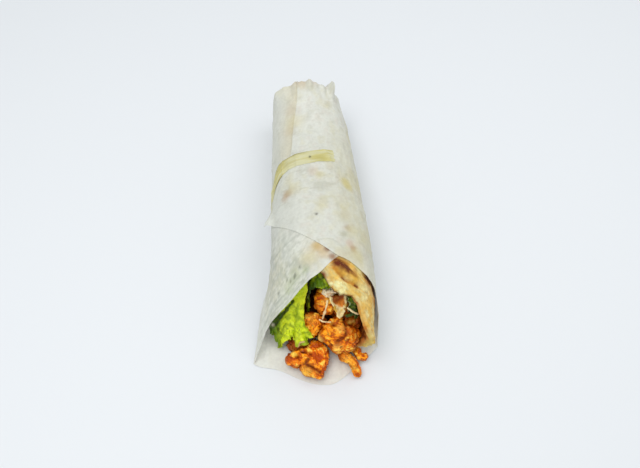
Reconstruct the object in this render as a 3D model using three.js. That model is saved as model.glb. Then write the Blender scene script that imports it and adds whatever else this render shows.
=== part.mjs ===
// A chicken paratha roll in butter paper: a flatbread rolled round lettuce and chicken, lying on its side.
// Millimetres, +Z up. The mouth is at the front (-Y) and the folded end of the paper at the back (+Y).
// Angles round the roll are seen from the mouth: 0 at the right, 90 at the top, 180 left, 270 underneath.
import * as THREE from "three";
import { mergeVertices } from "three/addons/utils/BufferGeometryUtils.js";

const { clamp, degToRad, lerp, radToDeg, smoothstep } = THREE.MathUtils;

// Driving dimensions
const AXIS_X = 5.7; // the roll's axis is right of the middle, because the paper spreads to the left
const HALF_LENGTH = 114;
const FAR_HALF_WIDTH = 27;
const TAPER = 0.0536; // half width gained for each millimetre towards the mouth
const FLATNESS = 0.84; // height over width
const PRESSED = 1.2; // depth of the round underside that is pressed flat
const PINCH = { share: 0.11, from: 20, to: 85 }; // squeeze of the right half towards the mouth
const GAP = 0.4; // between pieces that touch
const LOOSE = 0.7; // between the paper and the bread
const PAPER = 0.6;
const BREAD = 4;
const LEAF = 0.9;
const FLAKE = 1.2;
const SHRED = 1.3;
const TAPE = 0.4;
const TAPE_WIDTH = 11;
const FLOOR = PAPER + LOOSE; // height of the bread's underside

const vec = (x, y, z) => new THREE.Vector3(x, y, z);
const turned = (angle) => ((angle % 360) + 360) % 360;
const bell = (distance) => Math.exp(-distance * distance);

// A smooth curve through [place, value] stations, flat beyond both ends.
function through(stations) {
  const slope = (i) => {
    const [before, after] = [stations[i - 1], stations[i + 1]];
    return before && after ? (after[1] - before[1]) / (after[0] - before[0]) : 0;
  };
  return (place) => {
    let i = 1;
    while (i < stations.length - 1 && place > stations[i][0]) i++;
    const [[from, a], [to, b]] = [stations[i - 1], stations[i]];
    const span = to - from;
    const t = clamp((place - from) / span, 0, 1);
    const eased = t * t * (3 - 2 * t);
    return lerp(a, b, eased) + span * t * (1 - t) * (slope(i - 1) * (1 - t) - slope(i) * t);
  };
}

// Repeatable noise from -1 to 1 with cells one unit wide.
function noise(x, y, z) {
  const [i, j, k] = [Math.floor(x), Math.floor(y), Math.floor(z)];
  const [fx, fy, fz] = [x - i, y - j, z - k].map((t) => t * t * (3 - 2 * t));
  const corner = (a, b, c) => {
    const wave = Math.sin((i + a) * 127.1 + (j + b) * 311.7 + (k + c) * 74.7) * 43758.5453;
    return 2 * (wave - Math.floor(wave)) - 1;
  };
  const edge = (b, c) => lerp(corner(0, b, c), corner(1, b, c), fx);
  return lerp(lerp(edge(0, 0), edge(1, 0), fy), lerp(edge(0, 1), edge(1, 1), fy), fz);
}

// A point on the curve from one point to another that is drawn towards a third.
function bent(from, bend, to, t) {
  const point = from.clone().multiplyScalar((1 - t) ** 2);
  return point.addScaledVector(bend, 2 * t * (1 - t)).addScaledVector(to, t * t);
}

// The geometry with its faces turned outwards.
function facingOut(positions, index) {
  const corner = (i) => vec(...positions.slice(3 * i, 3 * i + 3));
  let volume = 0;
  for (let i = 0; i < index.length; i += 3)
    volume += corner(index[i]).cross(corner(index[i + 1])).dot(corner(index[i + 2]));
  if (volume < 0)
    for (let i = 0; i < index.length; i += 3) [index[i], index[i + 1]] = [index[i + 1], index[i]];
  const geometry = new THREE.BufferGeometry();
  geometry.setAttribute("position", new THREE.Float32BufferAttribute(positions, 3));
  return geometry.setIndex(index);
}

// A closed solid between two faces, each given by face(u, v, side) with side 0 outside and 1 inside.
function sheetSolid(columns, rows, face) {
  const [positions, index] = [[], []];
  const at = (side, i, j) => (side * (columns + 1) + i) * (rows + 1) + j;
  const quad = (a, b, c, d) => index.push(a, b, c, a, c, d);
  for (const side of [0, 1])
    for (let i = 0; i <= columns; i++)
      for (let j = 0; j <= rows; j++) positions.push(...face(i / columns, j / rows, side));
  for (let i = 0; i < columns; i++) {
    for (let j = 0; j < rows; j++) {
      quad(at(0, i, j), at(0, i + 1, j), at(0, i + 1, j + 1), at(0, i, j + 1));
      quad(at(1, i, j), at(1, i, j + 1), at(1, i + 1, j + 1), at(1, i + 1, j));
    }
    quad(at(0, i, 0), at(1, i, 0), at(1, i + 1, 0), at(0, i + 1, 0));
    quad(at(0, i, rows), at(0, i + 1, rows), at(1, i + 1, rows), at(1, i, rows));
  }
  for (let j = 0; j < rows; j++) {
    quad(at(0, 0, j), at(0, 0, j + 1), at(1, 0, j + 1), at(1, 0, j));
    quad(at(0, columns, j), at(1, columns, j), at(1, columns, j + 1), at(0, columns, j + 1));
  }
  return facingOut(positions, index);
}

// The direction square to surface(u, v).
function normalTo(surface, u, v) {
  const STEP = 2e-3;
  const across = surface(u + STEP, v).sub(surface(u - STEP, v));
  const along = surface(u, Math.min(v + STEP, 1)).sub(surface(u, Math.max(v - STEP, 0)));
  return across.cross(along).normalize();
}

// The two faces of a sheet of even thickness about middle(u, v).
const evenSheet = (middle, thickness) => (u, v, side) =>
  middle(u, v).addScaledVector(normalTo(middle, u, v), (0.5 - side) * thickness);

// The roll, a flattened cone
const halfWidth = (y) => FAR_HALF_WIDTH + TAPER * (HALF_LENGTH - y);
const middleZ = (y) => FLATNESS * halfWidth(y) + FLOOR - PRESSED;

// A point outside the bread by `out`, on the roll's section at y.
function onRoll(angle, y, out) {
  const aside = Math.cos(degToRad(angle));
  const squeeze = aside > 0 ? 1 - PINCH.share * smoothstep(-y, PINCH.from, PINCH.to) : 1;
  const x = (halfWidth(y) * squeeze + out) * aside;
  const z = middleZ(y) + (FLATNESS * halfWidth(y) + out) * Math.sin(degToRad(angle));
  return vec(x, y, Math.max(FLOOR - out, z));
}

// Paratha: a thick sheet rolled round the filling, open at the top left of the mouth
const BREAD_END_Y = 104;
const MOUTH_ROWS = 1.5; // above 1, rows crowd towards the mouth
const DROOP = { depth: 6, from: 54, to: 80 }; // how the upper lip sinks over the filling
const LEAN = { depth: 4.5, from: 66, to: 98 }; // how the right wall leans in over the filling
const RAGGED = { depth: 0.5, from: 40, to: 60, lip: 1.2 };
const BLISTER = { height: 2, spread: 3.6, from: [72, -60], to: [58, -67] }; // [angle, y] of its two ends
const MM_PER_DEGREE = 0.65; // round the bread at the mouth
const CORNER_ANGLE = 95; // of the free corner at the mouth
// Angles of the hidden edge and of the free edge, by share of the bread's length from the mouth.
const hiddenEdge = through([[0, -138], [0.35, -150], [1, -160]]);
const freeEdge = through([[0, CORNER_ANGLE], [0.1, 112], [0.25, 140], [0.4, 168], [0.56, 190], [1, 190]]);
// How far forward the mouth's lip reaches at an angle.
const lip = through([
  [-160, -66],
  [-90, -84],
  [-45, -93],
  [-10, -98],
  [18, -98],
  [32, -94],
  [44, -85],
  [54, -78.5],
  [64, -76.5],
  [73, -76],
  [85, -69],
  [CORNER_ANGLE, -60],
]);

function freeEdgeAt(y) {
  const cornerY = lip(CORNER_ANGLE);
  return freeEdge(clamp((y - cornerY) / (BREAD_END_Y - cornerY), 0, 1));
}

// Height of the toasted blister beside the upper lip.
function blister(angle, y) {
  const place = ([degrees, along]) => new THREE.Vector2(degrees * MM_PER_DEGREE, along);
  const [here, from] = [place([angle, y]), place(BLISTER.from)];
  const line = place(BLISTER.to).sub(from);
  const share = clamp(here.clone().sub(from).dot(line) / line.lengthSq(), 0, 1);
  return BLISTER.height * bell(here.distanceTo(from.addScaledVector(line, share)) / BLISTER.spread);
}

function breadFace(u, v, side) {
  const along = v ** MOUTH_ROWS;
  const angle = lerp(hiddenEdge(along), freeEdge(along), u);
  const y = lerp(lip(angle), BREAD_END_Y, along);
  const ragged = RAGGED.depth * noise(angle / 9, y / 5, side * 7) * smoothstep(-y, RAGGED.from, RAGGED.to);
  const point = onRoll(angle, y, side ? ragged - BREAD : blister(angle, y) + Math.min(0, ragged));
  point.z -= DROOP.depth * Math.max(0, Math.sin(degToRad(angle))) * smoothstep(-y, DROOP.from, DROOP.to);
  point.x -= LEAN.depth * Math.max(0, Math.cos(degToRad(angle))) * smoothstep(-y, LEAN.from, LEAN.to);
  point.y += v === 0 ? RAGGED.lip * noise(angle / 7, 3, 1) : 0;
  return point;
}

// Butter paper: a square sheet laid cornerwise. Its front corner lies on the table, the left side is folded
// over first, and the right side wraps over the top to a corner at the left.
const INNER_END = 30; // angle where the sheet begins, under its own outer layer
const CLIMB = [335, 386]; // angles between which the sheet climbs onto itself
const CREASE = 205; // angle of the fold at the left of the mouth
const LET_GO = { from: 10, to: 72, margin: 8, puff: [-1.5, 0, 2.5] }; // the loose left side of the mouth
const SPREAD = { from: 72, to: 96, x: 34, z: FLOOR + 1.5, angle: 335 }; // the right side, opened on the table
const RIM_Y = 106; // where the closed end begins
const TUBE_SHARE = 0.8; // of the sheet's rows, the rest closing the end
const TUBE_ROWS = 1.35; // above 1, the sheet's rows crowd towards the mouth
const END = { bulge: 3.6, dimple: 1.5, hole: 0.08, turn: 2.4, gather: 1.6 };
const EARS = [
  { angle: 48, spread: 7, height: 6 },
  { angle: 90, spread: 9, height: 3 },
  { angle: 138, spread: 16, height: 2.6 },
];
const EAR_LENGTH = 12;
const COVERED = [95, 115]; // angles between which the sheet leaves its own outer layer, and has ears
// The front edge's y at each angle round the sheet, from under the outer layer to the corner at the left.
const frontEdge = through([
  [30, -36],
  [70, -51],
  [96, -63],
  [108, -69],
  [142, -73],
  [190, -77.5],
  [199, -87],
  [206, -96],
  [237, -102],
  [268, -HALF_LENGTH],
  [300, -106],
  [335, -92],
  [360, -80],
  [380, -74],
  [396, -67],
  [406, -60],
  [420, -53],
  [434, -49.5],
  [453, -39],
  [483, -26],
  [512, -16],
  [532, -10],
]);
// The angle of the outer layer's long edge, by share of the length from its corner to the rim.
const seam = through([[0, 532], [0.25, 510], [0.43, 484], [0.7, 474], [1, 465]]);

// Where the left side of the paper is folded at the mouth, low and outside the roll.
const creasePoint = (y) => vec(0.19 * (y + 56) - 41, y, Math.max(FLOOR, 14 + 0.33 * (y + 56)));

// The left side let go at the mouth: straight down to the crease, then under the roll.
function looseSide(angle, y) {
  const start = freeEdgeAt(y) + LET_GO.margin;
  const fold = creasePoint(y);
  const share = (angle - start) / (CREASE - start);
  if (share <= 0) return onRoll(angle, y, 0);
  if (share > 1) {
    const low = vec(0.8 * fold.x, y, FLOOR);
    return bent(fold, low, onRoll(270, y, 0), (angle - CREASE) / (270 - CREASE));
  }
  const puff = vec(...LET_GO.puff).multiplyScalar(Math.sin(share * Math.PI));
  return onRoll(start, y, 0).lerp(fold, share).add(puff);
}

// The right side spread on the table in front of the mouth, then up beside the bread.
function spreadSide(angle, y) {
  const side = vec(SPREAD.x, y, SPREAD.z);
  const share = (angle - 270) / (SPREAD.angle - 270);
  if (share < 1) return onRoll(270, y, 0).lerp(side, share);
  return side.lerp(onRoll(0, y, 0), (angle - SPREAD.angle) / (360 - SPREAD.angle));
}

// The surface that the paper follows.
function underPaper(angle, y) {
  const place = turned(angle);
  const round = onRoll(place, y, 0);
  if (place >= 270) return round.lerp(spreadSide(place, y), smoothstep(-y, SPREAD.from, SPREAD.to));
  if (place > 60) return round.lerp(looseSide(place, y), smoothstep(-y, LET_GO.from, LET_GO.to));
  return round;
}

const tubeShare = (v) => Math.min(v / TUBE_SHARE, 1) ** TUBE_ROWS;
const endShare = (v) => Math.max(0, (v - TUBE_SHARE) / (1 - TUBE_SHARE));
const sheetAngle = (u, v) => lerp(INNER_END, seam(tubeShare(v)), u);

// The sheet's course from the front edge (v = 0) over the rim to the gathered end (v = 1).
function paperCourse(u, v) {
  const end = endShare(v);
  const angle = sheetAngle(u, v);
  const y = lerp(frontEdge(angle), RIM_Y, tubeShare(v));
  const point = underPaper(angle, y);
  const shrink = lerp(1, END.hole, end ** END.gather);
  point.x *= shrink;
  point.z = lerp(middleZ(y), point.z, shrink);
  point.y += END.bulge * Math.sin(degToRad(90) * Math.min(1, END.turn * end)) - END.dimple * end;
  return point;
}

// How far a folded ear of paper stands out at the back rim.
function ear(angle, y, end) {
  const away = (fold) => (turned(angle - fold.angle + 180) - 180) / fold.spread;
  const height = EARS.reduce((sum, fold) => sum + fold.height * bell(away(fold)), 0);
  const atRim = smoothstep(y, RIM_Y - EAR_LENGTH, RIM_Y) * (1 - smoothstep(end, 0.1, 0.5));
  return height * atRim * smoothstep(angle, ...COVERED);
}

function paperFace(u, v, side) {
  const angle = sheetAngle(u, v);
  const point = paperCourse(u, v);
  const climb = smoothstep(angle, ...CLIMB) * (PAPER + GAP);
  const out = LOOSE + climb + (side ? 0 : PAPER) + ear(angle, point.y, endShare(v));
  point.addScaledVector(normalTo(paperCourse, u, v), -out);
  point.z = Math.max(point.z, side ? PAPER : 0);
  return point;
}

// Tape: a strip across the top that holds the paper's corner down at the left
const TAPE_SPAN = [62, 178];
const TAPE_STEP = [142, 160]; // angles where it steps down past the paper's edge
const tapeLine = through([[62, 34.5], [93, 33], [128, 30.5], [150, 23], [178, 8]]);

function tapeFace(u, v, side) {
  const angle = lerp(...TAPE_SPAN, u);
  const y = tapeLine(angle) + (v - 0.5) * TAPE_WIDTH;
  const layers = 2 - smoothstep(angle, ...TAPE_STEP);
  return onRoll(angle, y, LOOSE + layers * (PAPER + GAP) + (side ? 0 : TAPE));
}

// Lettuce
// The large leaf lines the roll's left side and fans out of the mouth to a frilled front edge.
const LARGE_LEAF = { angles: [205, 112], back: 70, turn: -46, out: -5.8, inside: 0.55 };
const LEAF_WAVE = 0.5;
const LEAF_FRILL = 2.2;
const FRILL_WAY = vec(0.3, -0.5, 0.8);
const leafBend = (u) => vec(lerp(-37, -16, u), lerp(-66, -68, u), lerp(20, 45, u));
const LEAF_FRONT = [
  through([[-0.33, -43], [0, -37], [0.33, -30], [0.66, -19], [1, -9.5], [1.33, -2]]),
  through([[-0.33, -64], [0, -77], [0.33, -88], [0.66, -91], [1, -89.5], [1.33, -86]]),
  through([[-0.33, 21], [0, 13], [0.33, 7], [0.66, 10], [1, 16], [1.33, 22]]),
];

function largeLeaf(u, v) {
  const inside = Math.min(v / LARGE_LEAF.inside, 1);
  const y = lerp(LARGE_LEAF.back, LARGE_LEAF.turn, inside);
  const wave = LEAF_WAVE * Math.sin(u * 17 + y * 0.12) * smoothstep(inside, 0, 0.2);
  const lining = onRoll(lerp(...LARGE_LEAF.angles, u), y, LARGE_LEAF.out + wave);
  const t = (v - LARGE_LEAF.inside) / (1 - LARGE_LEAF.inside);
  if (t <= 0) return lining;
  const front = vec(...LEAF_FRONT.map((axis) => axis(u)));
  const frill = LEAF_FRILL * t ** 3 * smoothstep(u, 0.1, 0.4) * Math.sin(u * 24 + 2.2 * t);
  return bent(lining, leafBend(u), front, t).addScaledVector(FRILL_WAY, frill);
}

// A leaf that shows between the bread's free corner and the chicken, arched over from the right to the left.
const BACK_LEAF = { from: -53.5, to: -65.5, scallop: 1.2, ruffle: 0.9, sag: 3 };
const BACK_ARCH = [
  through([[-0.3, 10], [0, 4.5], [0.35, -3], [0.7, -9], [1, -10.5], [1.3, -11]]),
  through([[-0.3, 46], [0, 49], [0.35, 50.5], [0.7, 42], [1, 26], [1.3, 9]]),
];

function backLeaf(u, v) {
  const y = lerp(BACK_LEAF.from, BACK_LEAF.to, v) - BACK_LEAF.scallop * Math.sin(u * 11) * v;
  const ruffle = BACK_LEAF.ruffle * v * Math.sin(u * 12 + 1);
  return vec(BACK_ARCH[0](u) - 0.5 * ruffle, y, BACK_ARCH[1](u) - BACK_LEAF.sag * v * v + ruffle);
}

// A curled leaf under the bread's lip at the right.
const RIGHT_LEAF = { x: [14.6, 21], y: [-64, -81], z: [42.5, 33], ruffle: 0.9, curl: 4 };

function rightLeaf(u, v) {
  const ruffle = RIGHT_LEAF.ruffle * Math.sin(u * 7 + v * 5);
  const x = lerp(...RIGHT_LEAF.x, u) + 0.3 * ruffle;
  const z = lerp(...RIGHT_LEAF.z, v) + ruffle - RIGHT_LEAF.curl * (u - 0.5) ** 2;
  return vec(x, lerp(...RIGHT_LEAF.y, v), z);
}

// A torn flake of paratha curled over the chicken, its tip towards the front
const FLAKE_SHAPE = { x: [8.9, 10.1], y: [-68.5, -80], z: [40.5, 32], halfWidth: [5.4, 1.3], curl: 3.2 };

function flake(u, v) {
  const across = 2 * u - 1;
  const half = lerp(...FLAKE_SHAPE.halfWidth, Math.max(v, 0) ** 1.3);
  const curl = FLAKE_SHAPE.curl * across * across * (1 - 0.9 * v);
  const spine = vec(lerp(...FLAKE_SHAPE.x, v), lerp(...FLAKE_SHAPE.y, v), lerp(...FLAKE_SHAPE.z, v));
  return spine.add(vec(across * half, 0, curl));
}

// The filling that runs through the roll, lumpy, and set back at the left where the large leaf lies
const CORE = { from: -46, to: 101, out: -4.8, byLeaf: -8.2, lumps: 1.3, around: 18, rings: 13 };
const CORE_STEPS = [[92, 108], [212, 228]]; // angles where it steps back for the leaf, and out again

function corePoint(i, j) {
  const angle = (360 * i) / CORE.around;
  const y = lerp(CORE.from, CORE.to, j / (CORE.rings - 1));
  const leaf = smoothstep(angle, ...CORE_STEPS[0]) - smoothstep(angle, ...CORE_STEPS[1]);
  const [aside, upwards] = [Math.cos(degToRad(angle)), Math.sin(degToRad(angle))];
  const hollow = CORE.lumps * (noise(2 * aside, y / 12, 2 * upwards) - 1);
  return onRoll(angle, y, lerp(CORE.out, CORE.byLeaf, leaf) + hollow);
}

function coreSolid() {
  const [positions, index] = [[], []];
  const { around, rings } = CORE;
  for (let j = 0; j < rings; j++) for (let i = 0; i < around; i++) positions.push(...corePoint(i, j));
  const ends = [CORE.from, CORE.to].map((y) => positions.push(0, y, middleZ(y)) / 3 - 1);
  const at = (i, j) => j * around + (i % around);
  for (let i = 0; i < around; i++) {
    for (let j = 0; j < rings - 1; j++)
      index.push(at(i, j), at(i + 1, j), at(i + 1, j + 1), at(i, j), at(i + 1, j + 1), at(i, j + 1));
    index.push(ends[0], at(i + 1, 0), at(i, 0), ends[1], at(i, rings - 1), at(i + 1, rings - 1));
  }
  return facingOut(positions, index);
}

// Chunks in the mouth: middle, half height, outline from above and a seed for the lumps. An outline gives the
// reach on each bearing, 0 to the right and -90 to the front.
const oval = (across, along) => [[-90, along], [0, across], [90, along], [180, across]];
const UPPER = [[-137, 7.8], [-95, 9], [-60, 7.6], [11, 7.4], [51, 9.8], [86, 9], [123, 8.4], [177, 7.3]];
const SMALL = [[-137, 6.5], [-102, 8.2], [-55, 5], [17, 7], [62, 7], [99, 7.8], [122, 8.4], [144, 8]];
const BIG = [
  [-162, 11],
  [-137, 10.4],
  [-110, 12.2],
  [-82, 11.2],
  [-57, 12.8],
  [-25, 11.6],
  [10, 14.6],
  [45, 11.4],
  [84, 11.6],
  [123, 10.8],
  [176, 14.5],
];
const FRONT = [
  [-174, 11.4],
  [-148, 6.6],
  [-108, 9.7],
  [-82, 11],
  [-59, 15],
  [-39, 13.1],
  [-10, 12.6],
  [10, 13.4],
  [31, 16],
  [64, 14],
  [98, 12],
  [137, 15],
  [161, 15.8],
];
const STRIP = [
  [-171, 2.9],
  [-115, 2.9],
  [-87, 5],
  [-72, 10.2],
  [-58, 10],
  [-41, 8],
  [-18, 4.6],
  [30, 3.3],
  [76, 3.6],
  [105, 6.8],
  [125, 8.5],
  [145, 9.4],
  [160, 5],
];
const SHAVING = [[-88, 2.6], [-48, 4.4], [-21, 5], [51, 2.2], [141, 6], [177, 3]];
const CHUNKS = {
  chicken_upper: { at: [1.2, -66.8, 30], high: 9, outline: UPPER, seed: 1, detail: 3 },
  chicken_inner: { at: [12, -67, 22], high: 10, outline: oval(8.5, 9), seed: 2, detail: 2 },
  chicken_small: { at: [-7, -78, 18.5], high: 7.5, outline: SMALL, seed: 3, detail: 4 },
  chicken_big: { at: [9, -85, 15.4], high: 10.5, outline: BIG, seed: 4, detail: 5 },
  chicken_front: { at: [-12.7, -98.3, 6.2], high: 6.6, outline: FRONT, seed: 5, detail: 5 },
  chicken_strip: { at: [14.9, -100.4, 4.6], high: 3.6, outline: STRIP, seed: 6, detail: 5 },
  chicken_shaving: { at: [21.9, -97.3, 5.4], high: 2.8, outline: SHAVING, seed: 7, detail: 3 },
  chicken_left: { at: [-19.5, -88, 8], high: 4.5, outline: oval(7.5, 5), seed: 8, detail: 2 },
  chicken_right: { at: [18.5, -76, 19], high: 8, outline: oval(6, 7.5), seed: 9, detail: 2 },
  mayo_dab: { at: [4.4, -66.2, 41.4], high: 1.8, outline: oval(4.4, 2.4), seed: 10, detail: 2 },
};
const bearingOf = (direction) => radToDeg(Math.atan2(direction.y, direction.x));
const BLUNT = 2.7; // 2 would make the chunks ellipsoids
const LUMPS = [{ depth: 0.08, pitch: 1.7 }, { depth: 0.06, pitch: 4.1 }];
const CLEARANCE = 1.5; // from a chunk's corners to a sheet, which leaves room for its flat facets
const FEELERS = 40; // steps in which a chunk grows from its middle until it meets something

// Points all over a sheet's two faces from one share of its length to another.
function spots(face, columns, rows, from, to) {
  const points = [];
  for (let i = 0; i <= columns; i++)
    for (let j = 0; j <= rows; j++)
      for (const side of [0, 1]) points.push(face(i / columns, lerp(from, to, j / rows), side));
  return points;
}

const SHEETS = {
  lettuce_large: evenSheet(largeLeaf, LEAF),
  lettuce_back: evenSheet(backLeaf, LEAF),
  lettuce_right: evenSheet(rightLeaf, LEAF),
  paratha_flake: evenSheet(flake, FLAKE),
};
const IN_THE_WAY = [
  ...spots(breadFace, 150, 40, 0, 0.42),
  ...spots(paperFace, 240, 40, 0, 0.3),
  ...spots(SHEETS.lettuce_large, 40, 60, 0.4, 1),
  ...spots(SHEETS.lettuce_back, 30, 16, 0, 1),
  ...spots(SHEETS.lettuce_right, 10, 18, 0, 1),
  ...spots(SHEETS.paratha_flake, 12, 14, 0, 1),
];

// The closed curve of an outline's reach by bearing.
function around(outline) {
  const turnedBy = (turn) => outline.map(([bearing, reach]) => [bearing + turn, reach]);
  return through([-360, 0, 360].flatMap(turnedBy));
}

// How far a chunk's blunt, smooth form reaches in a direction.
function bluntReach(chunk, direction) {
  const across = Math.hypot(direction.x, direction.y) / around(chunk.outline)(bearingOf(direction));
  return (across ** BLUNT + Math.abs(direction.z / chunk.high) ** BLUNT) ** (-1 / BLUNT);
}

// The same with its lumps.
function lumpyReach(chunk, direction) {
  let reach = bluntReach(chunk, direction);
  for (const { depth, pitch } of LUMPS)
    reach *= 1 + depth * noise(...direction.clone().multiplyScalar(pitch).addScalar(chunk.seed * 5.3));
  return reach;
}

// A lumpy chunk, pressed flat against its neighbours, the sheets and the paper under it.
function chunkSolid(name) {
  const chunk = CHUNKS[name];
  const middle = vec(...chunk.at);
  const walls = Object.keys(CHUNKS)
    .filter((other) => other !== name)
    .map((other) => {
      const way = vec(...CHUNKS[other].at).sub(middle);
      const distance = way.length();
      way.normalize();
      const [mine, theirs] = [bluntReach(chunk, way), bluntReach(CHUNKS[other], way)];
      return { way, at: (distance * mine) / (mine + theirs) - GAP };
    });
  const most = 1.4 * Math.max(chunk.high, ...chunk.outline.map(([, reach]) => reach)) + CLEARANCE;
  const near = IN_THE_WAY.filter((spot) => spot.distanceTo(middle) < most);
  const free = (point) => point.z > FLOOR && near.every((spot) => spot.distanceTo(point) > CLEARANCE);
  const reach = (direction) => {
    let limit = lumpyReach(chunk, direction);
    for (const { way, at } of walls)
      if (way.dot(direction) > 0) limit = Math.min(limit, at / way.dot(direction));
    const grown = (steps) => (limit * steps) / FEELERS;
    let steps = 2;
    while (steps < FEELERS && free(middle.clone().addScaledVector(direction, grown(steps + 1)))) steps++;
    return grown(steps);
  };
  const sphere = new THREE.IcosahedronGeometry(1, chunk.detail);
  const geometry = mergeVertices(sphere.deleteAttribute("normal").deleteAttribute("uv"), 1e-4);
  const corners = geometry.getAttribute("position");
  for (let i = 0; i < corners.count; i++) {
    const way = vec().fromBufferAttribute(corners, i).normalize();
    corners.setXYZ(i, ...way.multiplyScalar(reach(way)));
  }
  return geometry;
}

// Shreds of white cabbage: bent strips over the heap, given by their ends from above and a sideways bow
const SHREDS = [
  { from: [1.9, -71.4], to: [-1.6, -77.4], bow: 0.8 },
  { from: [-3.8, -78.8], to: [3.2, -80.8], bow: -0.6 },
  { from: [14.2, -76.2], to: [20.6, -79.4], bow: -1.5 },
  { from: [-19.4, -90.6], to: [-13, -90.2], bow: 1 },
];
const SHRED_STEPS = 7;
const PROBES = 28; // places along a shred where the heap's height is felt
const HIGH = 90; // above everything

// The strip's middle line, lying taut over the heap.
function shredLine(shred, heap) {
  const [from, to] = [vec(...shred.from, 0), vec(...shred.to, 0)];
  const side = vec(from.y - to.y, to.x - from.x, 0).normalize();
  const place = (t) => from.clone().lerp(to, t).addScaledVector(side, shred.bow * Math.sin(t * Math.PI));
  const heightUnder = (t) => {
    const heights = [-SHRED, 0, SHRED].map((aside) => {
      const above = place(t).addScaledVector(side, aside).setZ(HIGH);
      const hit = new THREE.Raycaster(above, vec(0, 0, -1)).intersectObjects(heap)[0];
      return hit ? hit.point.z : FLOOR;
    });
    return Math.max(...heights);
  };
  const tops = [...Array(PROBES + 1).keys()].map((i) => ({ t: i / PROBES, z: heightUnder(i / PROBES) }));
  const taut = (t) => {
    let z = 0;
    for (const a of tops.filter((top) => top.t <= t))
      for (const b of tops.filter((top) => top.t >= t))
        z = Math.max(z, b.t > a.t ? lerp(a.z, b.z, (t - a.t) / (b.t - a.t)) : a.z);
    return z;
  };
  const steps = [...Array(SHRED_STEPS + 1).keys()].map((i) => i / SHRED_STEPS);
  return steps.map((t) => place(t).setZ(taut(t) + GAP + SHRED));
}

function shredSolid(shred, heap) {
  const half = SHRED / 2;
  const corners = [[-half, 0], [0, -half], [half, 0], [0, half]];
  const outline = new THREE.Shape(corners.map(([x, y]) => new THREE.Vector2(x, y)));
  const line = new THREE.CatmullRomCurve3(shredLine(shred, heap));
  const strip = new THREE.ExtrudeGeometry(outline, { extrudePath: line, steps: SHRED_STEPS });
  return mergeVertices(strip.deleteAttribute("normal").deleteAttribute("uv"), 1e-4);
}

// Materials
const finish = (color, roughness) => new THREE.MeshStandardMaterial({ color, roughness, metalness: 0 });
const MATERIALS = {
  paper: finish(0xdadacf, 0.55),
  tape: finish(0xd4d09a, 0.3),
  paratha: finish(0xd8b675, 0.7),
  lettuce: finish(0xa9c233, 0.45),
  darkLettuce: finish(0x4f6b1c, 0.5),
  chicken: finish(0xcb7a20, 0.45),
  darkChicken: finish(0x7b3a14, 0.45),
  cabbage: finish(0xf0e2c8, 0.5),
  mayo: finish(0xf2e7d6, 0.35),
};
const CHUNK_MATERIALS = {
  chicken_left: MATERIALS.darkChicken,
  chicken_right: MATERIALS.darkChicken,
  mayo_dab: MATERIALS.mayo,
};

// The part: everything is placed about the roll's axis
const part = new THREE.Group();
const roll = new THREE.Group();

function add(name, geometry, material) {
  const mesh = new THREE.Mesh(geometry, material);
  mesh.name = name;
  roll.add(mesh);
  return mesh;
}

add("paper_wrap", sheetSolid(38, 25, paperFace), MATERIALS.paper);
add("tape_strip", sheetSolid(14, 2, tapeFace), MATERIALS.tape);
add("paratha", sheetSolid(30, 18, breadFace), MATERIALS.paratha);
add("paratha_flake", sheetSolid(6, 6, SHEETS.paratha_flake), MATERIALS.paratha);
add("lettuce_large", sheetSolid(15, 20, SHEETS.lettuce_large), MATERIALS.lettuce);
add("lettuce_back", sheetSolid(14, 5, SHEETS.lettuce_back), MATERIALS.darkLettuce);
add("lettuce_right", sheetSolid(6, 8, SHEETS.lettuce_right), MATERIALS.darkLettuce);
add("chicken_filling", coreSolid(), MATERIALS.chicken);
for (const [name, chunk] of Object.entries(CHUNKS)) {
  const mesh = add(name, chunkSolid(name), CHUNK_MATERIALS[name] ?? MATERIALS.chicken);
  mesh.position.set(...chunk.at);
}
roll.updateMatrixWorld(true);
const heap = roll.children.filter((mesh) => mesh.name !== "paratha");
SHREDS.forEach((shred, i) => add(`cabbage_shred_${i + 1}`, shredSolid(shred, heap), MATERIALS.cabbage));
roll.position.x = AXIS_X;
part.add(roll);

export default part;
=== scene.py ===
import itertools
import math

import bmesh
import bpy
import numpy as np
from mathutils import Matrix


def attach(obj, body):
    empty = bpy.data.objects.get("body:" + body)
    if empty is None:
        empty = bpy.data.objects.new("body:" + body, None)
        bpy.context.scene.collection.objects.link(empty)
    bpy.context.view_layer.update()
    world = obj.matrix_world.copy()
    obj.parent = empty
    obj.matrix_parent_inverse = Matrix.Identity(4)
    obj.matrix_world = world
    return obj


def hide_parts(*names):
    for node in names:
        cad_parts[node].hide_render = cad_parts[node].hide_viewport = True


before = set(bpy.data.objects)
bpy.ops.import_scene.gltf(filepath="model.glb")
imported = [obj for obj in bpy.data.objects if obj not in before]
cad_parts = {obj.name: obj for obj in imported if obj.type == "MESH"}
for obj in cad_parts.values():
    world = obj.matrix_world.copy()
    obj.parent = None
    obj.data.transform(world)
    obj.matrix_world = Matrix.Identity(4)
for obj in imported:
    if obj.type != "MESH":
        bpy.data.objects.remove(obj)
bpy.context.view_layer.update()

# Shapes are worked out in millimetres about the roll's axis. The mouth is at -Y and the folded end at +Y.
# Angles round the roll are seen from the mouth: 0 at the right, 90 at the top, 180 left, 270 underneath.
MM = 0.001
AXIS = np.array([5.7, 0, 0])
HALF_LENGTH = 114
FAR_HALF_WIDTH = 27
TAPER = 0.0536  # half width gained for each millimetre towards the mouth
FLATNESS = 0.84
PRESSED = 1.2
PINCH = {"share": 0.11, "over": (20, 85)}
FAR_PINCH = {"share": 0.06, "over": (75, 108)}
LOOSE = 0.7
HUG = 0.7  # how much closer the shown paper lies than the solid
LAYER = 0.5  # from one layer of paper to the next
PAPER = 0.6  # room for the paper in the solids
PAPER_SHOWN = 0.25
BREAD = 4
BED = PAPER + LOOSE  # the height of what lies on the paper
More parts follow.
